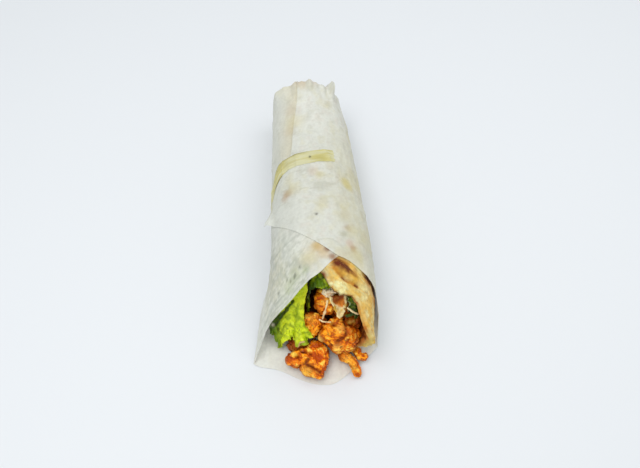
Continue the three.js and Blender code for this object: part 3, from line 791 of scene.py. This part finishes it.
# Dark flecks that show through the left flap: angle, y and size in mm
FLECKS = (
    (117, -54.3, 1.1), (126.5, -57.5, 1.2), (128.5, -59, 1.0), (135, -60, 0.9), (141, -58.2, 0.8),
    (157.5, -62.6, 1.1),
)
PEPPER_MARK = (92.4, -17.5)
PEPPER_SIZE = 0.9
CRUMB_PLACE = np.array([13.3, -102.2])  # x and y, in front of the mouth
YELLOW_EDGE = 5  # width of the yellowed strip beside the corner at the left
FIRST_LAYER = 300  # the flap's marks are on the sheet up to this angle, not on the layer over it


def oiled(angle, sheet_angle, y, points):
    """The white sheet with its oil clouds, wrinkles, seam and seam shade, and the greyer flap with streaks
    of painted fold shade along its edge.
    """
    crumbs = fractal(points, 4.5, 4, 25) * ramp(np.cos(np.radians(angle)), -0.6, -0.2)
    greasy = ramp(fractal(points, 22, 2, 28) + 0.5 * bell((y - 12) / 22), 0, 0.6)
    wrinkles = ramp(ridges(points + 2 * crumbs[..., None], (8, 6, 8), 4, 26), 0.55, 0.95)
    past_seam = (angle - seam_at(y) + 360) * MM_PER_DEGREE
    under_seam = ramp(past_seam, -0.5, 0.2) * (sheet_angle < 360) * (sheet_angle > 90)
    shaded = ramp(y, -10, 20) * (1 - 0.9 * ramp(y, 50, 80))
    right = ramp(np.cos(np.radians(angle)), 0.1, 0.8)
    behind = y - front_edge(sheet_angle)
    flap = between(sheet_angle, (92, 112), (190, 205)) * ramp(-y, 15, 40)
    wander = behind + 2.5 * noise_at(sheet_angle / 30, y / 30, 8)
    streaks = noise_at(wander / 0.9, sheet_angle / 80, 7) + noise_at(wander / 2.6, sheet_angle / 60, 9)
    grain = fractal(points, 1.8, 3, 29)
    return layered(
        SHEET_WHITE,
        (PAPER_WHITE_AND_PAINTED_LIGHT, 0.35 * ramp(y, 30, 90)),
        (OIL_YELLOW, 0.35 * ramp(fractal(points, (16, 24, 16), 4, 21), 0, 0.6)),
        (SEEN_PINK, 0.15 * ramp(crumbs, 0.1, 0.6)),
        (OIL_YELLOW, 0.18 * ramp(-crumbs, 0.1, 0.6)),
        (OLIVE_GREY, 0.45 * greasy * wrinkles),
        (OLIVE_GREY, 0.22 * ramp(fractal(points, (3.4, 4.5, 3.4), 4, 27), 0.05, 0.6)),
        (SEAM_BEIGE, 0.5 * under_seam * bell(past_seam / 14) * ramp(y, 25, 45)),
        (SEAM_SHADE, 0.25 * under_seam * bell(past_seam / 1.6) * shaded),
        (OIL_YELLOW, 0.2 * right * (1 - 0.8 * ramp(y, 40, 80))),
        (GREY_GREEN, 0.15 * between(angle, (110, 150), (190, 205))),
        # grey streaks along the flap's edge: painted shade of its folds
        (FLAP_GREY_AND_FOLD_SHADE, 0.6 * flap * ramp(streaks, -0.3, 1.2) * ramp(behind, 0.8, 3)),
        (FLAP_GREY_AND_FOLD_SHADE, 0.35 * flap * ramp(grain, 0.05, 0.5)),
        (PAPER_WHITE_AND_PAINTED_LIGHT, 0.4 * flap * ramp(-grain, 0.05, 0.5)),
    )


def paper_tint(angle, sheet_angle, y, points):
    """The oiled sheet with what shows through it, stains, a crumb and specks."""
    first_layer = sheet_angle < FIRST_LAYER
    uneven = 0.4 * fractal(points, 4, 4, 22)
    seen = []
    for marks, shown in ((SEEN_THROUGH, 1), (SEEN_THROUGH_FLAP, first_layer)):
        for *mark, size, colour, strength in marks:
            near = bell(apart(angle, y, mark) / size)
            seen.append((colour, shown * strength * near * ramp(near + uneven, 0.1, 0.8)))
    from_corner = (SHEET_END - sheet_angle) * MM_PER_DEGREE
    apron = ramp(-y, 84, 98) * ramp(fractal(points, 8, 4, 23), 0.15, 0.5)
    crumb = distance((points + AXIS)[..., :2], CRUMB_PLACE)
    flecks = [(FLECK, 0.75 * bell(apart(angle, y, mark) / size) * first_layer) for *mark, size in FLECKS]
    return layered(
        oiled(angle, sheet_angle, y, points),
        *seen,
        (DEEP_YELLOW, 0.8 * bell(from_corner / YELLOW_EDGE) * ramp(y, -5, 3)),
        (STAIN, 0.2 * apron),
        (CRUMB, 0.7 * bell(crumb / 0.9)),
        *flecks,
        (PEPPER, 0.95 * bell(apart(angle, y, PEPPER_MARK) / PEPPER_SIZE)),
    )


def butter_paper():
    """A square sheet laid cornerwise, folded over at the left and wrapped over the top from the right."""
    u, v = shares(271, 161)
    tube = np.minimum(v / TUBE_SHARE, 1) ** TUBE_ROWS
    end = np.maximum(0, (v - TUBE_SHARE) / (1 - TUBE_SHARE))
    angle = lerp(SHEET_START, seam(tube), u)
    y = lerp(front_edge(angle), RIM_Y, tube)
    course = under_paper(angle, y)
    shrink = lerp(1, END["hole"], end ** END["gather"])
    pleats, ears = end_folds(angle, y, end)
    course[..., 0] = course[..., 0] * shrink + 0.4 * ears * np.cos(np.radians(angle))
    course[..., 1] += pleats
    course[..., 2] = lerp(middle_z(y), course[..., 2], shrink) + ears
    out = LOOSE + ramp(angle, *CLIMB) * LAYER + crumple(angle, y) * (1 - end) + flap_folds(angle, y)
    out -= HUG * ramp(np.sin(np.radians(angle)), -0.9, -0.3)
    out += FLARE["out"] * ramp(angle, *FLARE["angles"]) * fade(y, *FLARE["y"])
    outer = pushed(course, -(out + PAPER))
    inner = pushed(course, -(out + PAPER - PAPER_SHOWN))
    lift = 0.5 * np.maximum(0, fractal(course, (18, 12, 18), 3, 14)) * ramp(-y, 60, 90)
    outer[..., 2] = np.maximum(outer[..., 2], 0) + lift
    inner[..., 2] = np.maximum(inner[..., 2], PAPER_SHOWN) + lift
    tint = paper_tint(angle % 360, angle, y, course)
    # the inner face towards the mouth turns near-white: painted light against the shade in its folds
    inside = layered(tint, (PAPER_WHITE_AND_PAINTED_LIGHT, 0.85 * ramp(-y, 45, 60)))
    add_sheet("butter_paper", "paper_wrap", outer, inner, paper_look(), tint, inside)


# Tape

TAPE_WIDTH = 11
TAPE_SPAN = (62, 178)
TAPE_STEP = (142, 160)
TAPE_SHOWN = 0.15
TAPE_CLEAR = 0.2
TAPE_BULGE = {"width": 3, "angle": 146, "spread": 14}  # where it is stuck down in a bend
TAPE_PEPPER_MARK = (93.9, 33.1)
tape_line = through((62, 34.5), (93, 33), (128, 30.5), (150, 23), (178, 8))
TAPE_PALE = srgb(232, 229, 188)
TAPE_LINE = srgb(196, 182, 92)
TAPE_EDGE = srgb(146, 142, 84)


def tape():
    """A yellowish strip across the top that holds the paper's corner down at the left."""
    u, v = shares(141, 17)
    ragged = 0.7 * noise_at(v * 9, 2, 7) * np.where(u < 0.5, bell(u / 0.03), -bell((1 - u) / 0.03))
    angle = lerp(*TAPE_SPAN, u) + ragged / MM_PER_DEGREE
    bulge = TAPE_BULGE["width"] * bell((angle - TAPE_BULGE["angle"]) / TAPE_BULGE["spread"])
    y = tape_line(angle) + (v - 0.5) * TAPE_WIDTH + v * bulge
    layers = 2 - ramp(angle, *TAPE_STEP)
    out = LOOSE + layers * LAYER + crumple(angle, y) + TAPE_CLEAR - HUG
    outer, inner = on_roll(angle, y, out + TAPE_SHOWN), on_roll(angle, y, out)
    lines = noise_at(v * 6, u * 4, 3) + noise_at(v * 13, u * 6, 4)
    back_edge = ramp(v, 0.88, 1) * between(u, (0.2, 0.4), (0.75, 0.9))
    tint = layered(
        TAPE_PALE,
        (DEEP_YELLOW, 0.8 * bell((u - 0.72) / 0.16) + 0.65 * bell((u - 0.14) / 0.14)),
        (DEEP_YELLOW, 0.35 * ramp(fractal(outer, (9, 4, 9), 3, 31), 0, 0.5)),
        (TAPE_LINE, 0.35 * ramp(lines, 0.1, 0.8)),
        (TAPE_PALE, 0.7 * ramp(-lines, 0.1, 0.8)),
        (TAPE_PALE, 0.6 * ramp(u, 0.82, 0.95) + 0.5 * bell(u / 0.04)),
        (TAPE_EDGE, 0.75 * back_edge),
        (PEPPER, 0.9 * bell(apart(angle, y, TAPE_PEPPER_MARK) / PEPPER_SIZE)),
    )
    add_sheet("tape", "tape_strip", outer, inner, tape_look(), tint)


# Lettuce

LEAF = 0.9
LIME = srgb(196, 217, 14)
YELLOW_GREEN = srgb(237, 246, 50)
LEAF_GREEN = srgb(98, 134, 6)
DEEP_GREEN = srgb(44, 74, 6)
LEAF_RIB = srgb(214, 226, 170)
SAUCE_DROP = srgb(240, 226, 206)
LARGE_LEAF = {"angles": (205, 112), "back": 70, "turn": -46, "out": -5.8, "inside": 0.55, "frill": 2.2}
LEAF_BEND = ((-37, -66, 20), (-16, -68, 45))  # at its left and at its right
FRILL_WAY = np.array([0.3, -0.5, 0.8])
LEAF_FRONT = (
    through((-0.33, -43), (0, -37), (0.33, -30), (0.66, -19), (1, -9.5), (1.33, -2)),
    through((-0.33, -64), (0, -77), (0.33, -88), (0.66, -91), (1, -89.5), (1.33, -86)),
    through((-0.33, 21), (0, 13), (0.33, 7), (0.66, 10), (1, 16), (1.33, 22)),
)
leaf_edge = through((0, 0), (0.35, 2.4), (0.55, 0.4), (0.73, -1.9), (0.87, -1.8), (1, -0.8))
leaf_trim = through(
    (0, 0), (0.34, 0), (0.4, 3.5), (0.46, 7.5), (0.56, 9), (0.64, 7), (0.7, 3.8), (0.82, 3),
    (0.93, 2.6), (1, 4),
)
# On the large leaf: painted shade along the edge of the flap and in folds at its left, and a drop of sauce
# there
FLAP_SHADE = ((-14.5, -67.9, 34.6), (-19.5, -70.5, 27.6), (-23.9, -72.4, 21.1), (-28.7, -74.9, 15.7))
LEAF_FOLD_SHADE = ((-25.9, -79.1, 15.1), (-23.9, -80.6, 14))
LEAF_DROP = np.array([-29.1, -75.3, 15.1])
# By share across the back leaf, its x and z
BACK_ARCH = (
    through((-0.25, 10), (0, 4.5), (0.29, -3), (0.58, -9), (0.82, -10.5), (1, -11)),
    through((-0.25, 46), (0, 49), (0.29, 50.5), (0.58, 42), (0.82, 26), (1, 13)),
)
BACK_LEAF_Y = (-53.5, -65.5)
RIGHT_LEAF = {"x": 17.8, "width": 6.8, "y": (-64, -81), "z": (42.5, 33), "crown": 4}


def add_leaf(name, node, middle, tint):
    """A leaf about its middle surface."""
    add_sheet(name, node, pushed(middle, LEAF / 2), pushed(middle, -LEAF / 2), lettuce_look(), tint)


def large_leaf_tint(u, t, middle, nearest):
    """Bright green with darker dash marks and pitted creases as painted shade, and painted shade at the
    left, along the flap's edge and in folds.
    """
    light = fractal(middle, 9, 4, 43)
    dimple_shade = ramp(ridges(middle, 3.4, 6, 48), 0.6, 0.95) * ramp(noise(middle, 3, 46), 0, 0.5)
    shade = near_path(middle + AXIS, FLAP_SHADE) + 0.5 * noise(middle, 3, 49)
    shade_width = lerp(2.2, 0.8, ramp(middle[..., 2], 15, 33))
    from_fold_shade = near_path(middle + AXIS, LEAF_FOLD_SHADE) + 1.2 * noise(middle, 2.5, 50)
    quilt_shade = ramp(nearest, 0.45, 0.8) * ramp(t, 0.3, 0.7)
    return layered(
        LIME,
        (YELLOW_GREEN, 0.9 * ramp(light, -0.3, 0.3)),
        (LEAF_GREEN, 0.45 * ramp(-fractal(middle, 6, 4, 44), 0.15, 0.55)),
        # darker dash marks: painted shade in the leaf's dimples
        (LEAF_GREEN * 0.8, 0.75 * dimple_shade),
        (YELLOW_GREEN * 1.1, 0.8 * ramp(u, 0.93, 0.98) * fade(t, 0.4, 0.7)),
        # darker greens at the left: painted shade under the flap
        (LEAF_GREEN, 0.9 * fade(u + 0.16 * light, 0.28, 0.5)),
        (DEEP_GREEN, 0.9 * fade(u + 0.2 * light, 0.1, 0.3)),
        (DEEP_GREEN * 0.6, 0.95 * fade(shade / shade_width, 0.7, 1.2)),
        # painted shade in folds at the lower left, then in the creases of the quilting
        (DEEP_GREEN * 0.8, 0.8 * fade(from_fold_shade, 0.6, 2.0)),
        (LEAF_GREEN * 0.7, 0.6 * quilt_shade),
        (SAUCE_DROP, bell(distance(middle + AXIS, LEAF_DROP) / 1.3)),
    )


def large_leaf():
    """The leaf that lines the roll's left side and fans out of the mouth to a frilled front edge."""
    u, v = shares(185, joined((0, 0.52, 26), (0.53, 1, 175)))
    inside = np.minimum(v / LARGE_LEAF["inside"], 1)
    y = lerp(LARGE_LEAF["back"], LARGE_LEAF["turn"], inside)
    wave = 0.5 * np.sin(u * 17 + y * 0.12) * ramp(inside, 0, 0.2)
    lining = on_roll(lerp(*LARGE_LEAF["angles"], u), y, LARGE_LEAF["out"] + wave)
    t = np.clip((v - LARGE_LEAF["inside"]) / (1 - LARGE_LEAF["inside"]), 0, 1)
    bend = lerp(*np.array(LEAF_BEND, float), u[..., None])
    front = np.stack([axis(u) for axis in LEAF_FRONT], axis=-1)
    frill = LARGE_LEAF["frill"] * t**6 * ramp(u, 0.1, 0.4) * np.sin(u * 24 + 2.2 * t)
    middle = bent(lining, bend, front, t) + frill[..., None] * FRILL_WAY
    middle[..., 0] += leaf_edge(t) * ramp(u, 0.6, 1)
    nearest, _ = cells(middle + 1.5 * fractal(middle, 6, 2, 45)[..., None], 4.2, 41)
    quilt = lerp(1.1, 2.0, t) * (0.5 - nearest) + 0.7 * fractal(middle, 3, 3, 47)
    warp = noise_at(u * 7, t * 3, 1)
    ruffle = 1.8 * t**10 * np.sin(u * 38 + 5 * warp) + 0.8 * t**20 * np.sin(u * 85 + 9 * warp)
    middle = pushed(middle, quilt * ramp(t, 0.1, 0.4) + ruffle)
    outward = front - bent(lining, bend, front, 0.9)
    outward /= np.linalg.norm(outward, axis=-1, keepdims=True)
    lobes = 2.4 * np.sqrt(np.abs(np.sin(u * 22 + 2.5 * warp))) + 0.9 * noise_at(u * 40, 6, 6) - 1.4
    middle += outward * (lobes * t**7 - leaf_trim(u) * t**4)[..., None]
    add_leaf("leaf_large", "lettuce_large", middle, large_leaf_tint(u, t, middle, nearest))


def shaded_green(points, seed, light):
    """Dark green clouds with some lime, as layers over a leaf's green."""
    return (
        LEAF_GREEN,
        (DEEP_GREEN, ramp(fractal(points, 6, 4, seed), -0.35, 0.35)),
        (LIME, light * ramp(fractal(points, 5, 3, seed + 3), -0.2, 0.5)),
    )


def back_leaf():
    """A leaf between the bread's free corner and the chicken, arched over from the right to the left."""
    u, v = shares(121, 61)
    y = lerp(*BACK_LEAF_Y, v) - 1.2 * np.sin(u * 11) * v - 2.2 * v * ramp(u, 0.6, 0.85)
    ruffle = 0.9 * v * np.sin(u * 12 + 1)
    middle = stacked(BACK_ARCH[0](u) - 0.5 * ruffle, y, BACK_ARCH[1](u) - 3 * v * v + ruffle)
    curls = 0.5 * fractal(middle, 4, 3, 51) + 0.5 * v**3 * np.sin(u * 57 + 3 * v)
    middle = pushed(middle, curls)
    middle[..., 1] += 0.8 * noise_at(u * 25, 3, 3) * v**4
    tint = layered(
        *shaded_green(middle, 52, 0.9 * fade(u, 0.33, 0.5)),
        # a dark band across the leaf: painted shade between the large leaf and the chicken
        (DEEP_GREEN * 0.4, 0.85 * ramp(u + 0.2 * noise(middle, 4, 55), 0.42, 0.58)),
        (LIME, 0.9 * ramp(u, 0.6, 0.75) * ramp(noise(middle, 4, 56), -0.7, 0.2)),
    )
    add_leaf("leaf_back", "lettuce_back", middle, tint)


def right_leaf():
    """A curled, frilled leaf under the bread's lip at the right."""
    u, v = shares(61, 101)
    ruffle = 0.9 * np.sin(u * 7 + v * 5)
    width = RIGHT_LEAF["width"] + 3.2 * noise_at(v * 5, 2, u > 0.5) + 1.6 * noise_at(v * 13, 4, u > 0.5)
    x = RIGHT_LEAF["x"] + (u - 0.5) * width + 0.3 * ruffle
    back, front = RIGHT_LEAF["y"]
    y = lerp(back, front + 2.5 * noise_at(u * 4, 8, 3), v)
    middle = stacked(x, y, lerp(*RIGHT_LEAF["z"], v) + ruffle - RIGHT_LEAF["crown"] * (u - 0.5) ** 2)
    edge = np.abs(u - 0.5) * 2
    curls = 0.6 * fractal(middle, 3.5, 3, 61) + 0.9 * edge**3 * np.sin(v * 31 + 9 * (u > 0.5))
    middle = pushed(middle, curls)
    tint = layered(
        *shaded_green(middle, 62, 0.06),
        # lime along curly ridges: painted highlights
        (LIME, 0.55 * ramp(ridges(middle, 2.6, 3, 65), 0.72, 0.95)),
        (LEAF_RIB, 0.5 * ramp(edge + 0.3 * noise(middle, 3, 66), 0.85, 1.1)),
        (DEEP_GREEN * 0.4, 0.85 * ramp(v, 0.68, 0.9)),
    )
    add_leaf("leaf_right", "lettuce_right", middle, tint)


# The torn flake of paratha

FLAKE = {"thick": 1.2, "round": 0.6, "length": 11, "half": (6.2, 1.3), "curl": 3.2}
FLAKE_BACK = np.array([8.3, -68.5, 40.5])
FLAKE_TIP = np.array([10.1, -80, 32])
FLAKE_PALE = srgb(255, 232, 168)
FLAKE_TOAST = srgb(230, 128, 12)
FLAKE_BURNT = srgb(136, 50, 0)


def bread_flake():
    """A flake of bread curled over the chicken, toasted at the back, with a pale tip."""
    u, v = shares(61, 71)
    across = 2 * u - 1
    ragged = 0.7 * noise_at(v * 7, u * 2, 3) + 0.3 * noise_at(v * 20, u * 2, 5)
    half = lerp(*FLAKE["half"], v**1.3) + ragged
    curl = FLAKE["curl"] * across**2 * (1 - 0.9 * v)
    middle = lerp(FLAKE_BACK, FLAKE_TIP, v[..., None]) + stacked(across * half, 1.2 * across, curl)
    normal = normals_of(middle)
    middle = middle + normal * 0.6 * fractal(middle, 4, 4, 71)[..., None]
    edge = np.minimum(np.minimum(u, 1 - u) * 2 * half, FLAKE["length"] * np.minimum(v, 1 - v))
    thick = FLAKE["thick"] / 2 * rounded(edge, FLAKE["round"])[..., None]
    toast = fade(v + 0.16 * noise(middle, 2.5, 8) - 0.1 * across, 0.4, 0.62)
    toast *= fade(np.abs(across) + 0.2 * noise(middle, 2, 10), 0.6, 0.85)
    tint = layered(
        FLAKE_PALE,
        (GOLD_DOUGH, ramp(fractal(middle, 4, 3, 72), 0.1, 0.6)),
        (FLAKE_TOAST, 0.95 * toast),
        (FLAKE_BURNT, 0.9 * toast * fade(v + 0.1 * across, 0.16, 0.42)),
        (TOASTED * 0.7, 0.4 * toast * ramp(noise(middle, 3, 9), -0.1, 0.5)),
    )
    faces = (middle + normal * thick, middle - normal * thick)
    add_sheet("bread_flake", "paratha_flake", *faces, bread_look(), tint)


# Chicken

GLAZE = srgb(236, 126, 4)
SEARED = srgb(184, 74, 2)
CHAR = srgb(98, 34, 4)
MEAT = srgb(255, 204, 76)
CRUST = srgb(252, 160, 16)
GLINT = srgb(255, 216, 108)
# Faces turned away from this way get painted shade, so the pieces look palest where they face it.
LIT_FACING = np.array([0, -0.45, 0.89])  # where the pieces are palest
# Creases as paths, dents and swellings as places with a reach, and coloured patches; all in millimetres.
CREASES = {
    "front": [
        [(-13.5, -101.7, 6.3), (-10.2, -102.5, 11.6), (-5.4, -104.8, 12.3), (0.2, -108.5, 10.6)],
        [(-10.2, -102.5, 11.6), (-7, -99.5, 12.9)],
        [(-13, -94, 11), (-9, -94.5, 12.8), (-5, -96.5, 13)],
    ],
    "big": [
        [(7.7, -93.8, 18.9), (13.2, -92.6, 24), (17.9, -90.4, 25.2), (18.5, -84, 25.5), (17, -79, 25)],
    ],
    "strip": [[(17, -103, 7), (22, -101, 7)], [(20, -107, 7), (25, -104.5, 7)]],
}
DENTS = {
    "front": [((-13.9, -97.8, 12.7), 1.6)],
    "big": [((10.6, -81.9, 25.9), 1.8)],
}
SWELLS = {
    "front": [((-17.5, -95.5, 6), 6, 2.6)],
    "strip": [((24, -109, 5), 3, 1.2), ((15.5, -96, 4), 3.5, 2.4)],
    "big": [((1.5, -86, 18), 6, 2.2), ((26, -88, 18), 6, 2.0)],
    "left": [((-17.5, -89, 6), 6, 4.5)],
}
PATCHES = {
    "big": [
        # on the big piece the GLINT patches are painted highlights
        ((2.5, -86.4, 17.7), 2.6, GLINT, 0.7),
        ((14.8, -85.4, 26), 3, GLINT, 0.5),
        ((11.7, -96.2, 20.1), 3, GLINT, 0.5),
        ((11, -87, 24), 8, CRUST, 0.2),
        ((22.5, -85, 24), 6, SEARED * 0.9, 0.75),
    ],
    "upper": [
        ((8.3, -69.1, 38.8), 3, MEAT, 0.4),
        ((6.4, -72, 37.8), 2.2, GLINT, 0.5),
        ((0.5, -72, 34), 5, SEARED, 0.6),
    ],
    "small": [((-3.6, -76.6, 25.8), 4, MEAT, 0.4), ((-1.5, -83, 22), 3, CRUST, 0.6)],
    "front": [((-8, -106, 10), 4, MEAT, 0.5), ((3, -94, 10), 4, SEARED, 0.3)],
    "strip": [((19, -101, 7), 4, MEAT, 0.5)],
}
# Kind, seed, subdivisions, direction of the fibres and share of dark sauce; on the filling deep in the
# mouth that darkness is mostly painted shade
CHICKEN = (
    ("filling", 100, 1, (0, 1, 0), 0.8),
    ("upper", 110, 2, (0.3, -0.6, 0.7), 0.0),
    ("inner", 120, 2, (0, 1, 0.3), 0.3),
    ("small", 130, 2, (0.2, -1, 0.4), 0.0),
    ("big", 140, 2, (0.8, -0.5, 0.2), 0.0),
    ("front", 150, 2, (0.7, -0.8, 0), 0.0),
    ("strip", 160, 2, (0.55, -0.85, 0), 0.0),
    ("shaving", 170, 2, (0.9, -0.4, 0), 0.0),
    ("left", 180, 2, (1, 0, 0), 0.75),
    ("right", 190, 2, (0, 1, 0), 0.7),
)


def torn(points, grain, seed):
    """Relief of torn meat from about -1 to 1: plates parted by cracks, with fibres along the grain."""
    warped = points + 1.3 * swayed(points, 5, seed)
    along = np.array(grain) / np.linalg.norm(grain)
    drawn_out = warped - along * (0.6 * warped @ along)[:, None]
    nearest, second = cells(drawn_out, 4.4, seed)
    plates = ramp(second - nearest, 0.02, 0.35) - 0.7
    crests = 2 * ridges(drawn_out, 2.6, 2, seed + 7) - 1.1
    fibres = 2 * ridges(drawn_out, 1.4, 3, seed + 9) - 0.9
    fine = 0.25 * noise(drawn_out, 0.8, seed + 5) + 0.25 * fibres
    return 0.55 * facets(warped, 8, seed) + 0.5 * plates + 0.35 * crests + fine


def chicken_tint(points, normals, height, seed, dark):
    """Orange glaze with seared patches and char, painted highlights and glints on raised fibres, and
    red-brown painted shade in hollows and on faces turned from the top.
    """
    # flecks follow the relief: raised parts get a painted highlight and low parts painted shade, mixed
    # with noise
    flecks = 0.9 * height + 0.15 * noise(points, 5, seed + 6) + 0.6 * noise(points, 1.7, seed + 1)
    # painted shade on the faces that turn away from the top
    shaded_sides = fade(normals @ LIT_FACING + 0.25 * noise(points, 2.5, seed + 3), 0.1, 0.6)
    glints = ramp(ridges(points, 1.8, 3, seed + 9), 0.72, 0.96) * ramp(flecks, -0.3, 0.3)
    return layered(
        GLAZE,
        (CRUST, ramp(fractal(points, 6, 4, seed), -0.3, 0.35)),
        (MEAT, 0.95 * ramp(flecks, 0.2, 0.6)),
        (SEARED * 0.9, 0.95 * ramp(-flecks, 0.15, 0.55)),
        (SEARED, 0.35 * ramp(fractal(points, 4.5, 4, seed + 2), 0.2, 0.5)),
        # painted glints on fine ridges, then painted shade on the faces turned from the top
        (GLINT, 0.4 * glints * (1 - shaded_sides)),
        (SEARED * 0.75, 0.75 * shaded_sides),
        (CHAR, 0.7 * ramp(fractal(points, 3.2, 4, seed + 4), 0.42, 0.7)),
        # the piece's dark share; on the filling deep in the mouth this is mostly painted shade
        (CHAR, dark),
    )


def chicken(kind, seed, levels, grain, dark, look):
    """A torn piece of chicken with creases and dents that get painted shade, and coloured patches: seared
    ones, and painted highlights on the big piece.
    """
    node = f"chicken_{kind}"
    points, normals, quads = finer(node, levels)
    height = torn(points, grain, seed)
    lumps = fractal(points, 7, 3, seed + 6)
    rise = 0.45 + 0.4 * lumps + height
    # how deep the creases and dents are, which also sets their painted shade
    crack_depth_and_shade = np.zeros(len(points))
    wander = 0.8 * noise(points, 3, seed + 9)
    for path in CREASES.get(kind, ()):
        crack_depth_and_shade = np.maximum(crack_depth_and_shade, bell((near_path(points, path) + wander) / 0.9))
    for place, reach in DENTS.get(kind, ()):
        dent = bell(distance(points, place) / reach)
        rise -= reach * dent
        crack_depth_and_shade = np.maximum(crack_depth_and_shade, dent)
    for place, reach, swell in SWELLS.get(kind, ()):
        rise += swell * bell(distance(points, place) / reach)
    rise -= 1.1 * crack_depth_and_shade
    patches = [
        (colour, share * bell(distance(points, place) / reach))
        for place, reach, colour, share in PATCHES.get(kind, ())
    ]
    tint = layered(
        chicken_tint(points, normals, height + 0.3 * lumps, seed + 8, dark),
        *patches,
        # painted shade in the creases and dents
        (CHAR, 0.9 * crack_depth_and_shade),
    )
    clear = ramp(points[:, 2], BED, BED + 3)
    points = points + normals * (rise * clear)[:, None]
    points[:, 2] = np.maximum(points[:, 2], BED)
    add_piece(f"meat_{kind}", node, points, quads, tint, look, sharp_angle=180)


# Shreds and mayonnaise

CREAM = srgb(255, 230, 190)
BLUSH = srgb(250, 198, 146)
SHRED_PALE = srgb(255, 226, 168)
SHRED_DULL = srgb(206, 166, 112)
WAVY = 0.6
# Name, node, seed, height of the lumps, swelling and colour
PALE_BITS = (
    ("mayo", "mayo_dab", 200, 1.8, 0.9, CREAM),
    ("shred_1", "cabbage_shred_1", 211, 0.35, 0.05, SHRED_PALE),
    ("shred_2", "cabbage_shred_2", 212, 0.35, 0.05, SHRED_PALE),
    ("shred_3", "cabbage_shred_3", 213, 0.35, 0.05, SHRED_PALE),
    ("shred_4", "cabbage_shred_4", 214, 0.35, 0.05, SHRED_DULL),
)


def pale_bit(name, node, seed, lumps, swell, colour, look):
    """A shred or dab, rounded, wavy and uneven."""
    points, normals, quads = finer(node, 2)
    rise = swell + lumps * fractal(points, 2.2, 3, seed)
    points = points + normals * rise[:, None] + WAVY * swayed(points, 3.5, seed + 2)
    blush = ramp(fractal(points, 3, 3, seed + 1), 0.1, 0.6)
    tint = layered(colour, (BLUSH, 0.7 * blush))
    add_piece(name, node, points, quads, tint, look, sharp_angle=180)


# Floor, light and camera

FLOOR_REACH = 3.0
FLOOR_COLOUR = (0.74, 0.76, 0.78, 1)
SKY = {"Color": (0.95, 0.98, 1.0, 1), "Strength": 0.72}
SOFTBOX_SIZE = 0.6
# Name, watts, place in metres and tilt in degrees
SOFTBOXES = (
    ("softbox_left", 4.2, (-0.25, -0.12, 1.0), (-7, -14, 0)),
    ("softbox_right", 1.5, (0.45, 0.15, 0.8), (10, 29, 0)),
)
CAMERA = {"sensor": 36, "lens": 32.88, "place": (-0.0088, -0.2202, 0.3825), "tilt": (30.1, 0, -4.4)}


def add_floor():
    mesh = bpy.data.meshes.new("floor")
    corners = [(x * FLOOR_REACH, y * FLOOR_REACH, 0) for x, y in ((-1, -1), (1, -1), (1, 1), (-1, 1))]
    mesh.from_pydata(corners, [], [(0, 1, 2, 3)])
    pale = bpy.data.materials.new("pale_floor")
    pale.use_nodes = True
    surface = pale.node_tree.nodes["Principled BSDF"]
    connect(pale.node_tree, surface, {"Base Color": FLOOR_COLOUR, "Roughness": 0.6})
    mesh.materials.append(pale)
    ground = linked("floor", mesh)


def placed(name, data, place, tilt):
    """A lamp or camera at a place in metres, turned by a tilt in degrees."""
    thing = linked(name, data)
    thing.location = place
    thing.rotation_euler = [math.radians(angle) for angle in tilt]
    return thing


def add_lights():
    world = bpy.data.worlds.new("studio")
    world.use_nodes = True
    connect(world.node_tree, world.node_tree.nodes["Background"], SKY)
    bpy.context.scene.world = world
    for name, power, place, tilt in SOFTBOXES:
        lamp = bpy.data.lights.new(name, "AREA")
        lamp.size = SOFTBOX_SIZE
        lamp.energy = power
        placed(name, lamp, place, tilt)


def add_camera():
    view = bpy.data.cameras.new("camera")
    view.sensor_width = CAMERA["sensor"]
    view.lens = CAMERA["lens"]
    bpy.context.scene.camera = placed("camera", view, CAMERA["place"], CAMERA["tilt"])


# Making the roll and its surroundings

for make in (butter_paper, tape, paratha, bread_flake, large_leaf, back_leaf, right_leaf):
    make()
for maker, look, rows in ((chicken, chicken_look(), CHICKEN), (pale_bit, pale_look(), PALE_BITS)):
    for row in rows:
        maker(*row, look)
add_floor()
add_lights()
add_camera()
bpy.context.scene.view_settings.view_transform = "Standard"
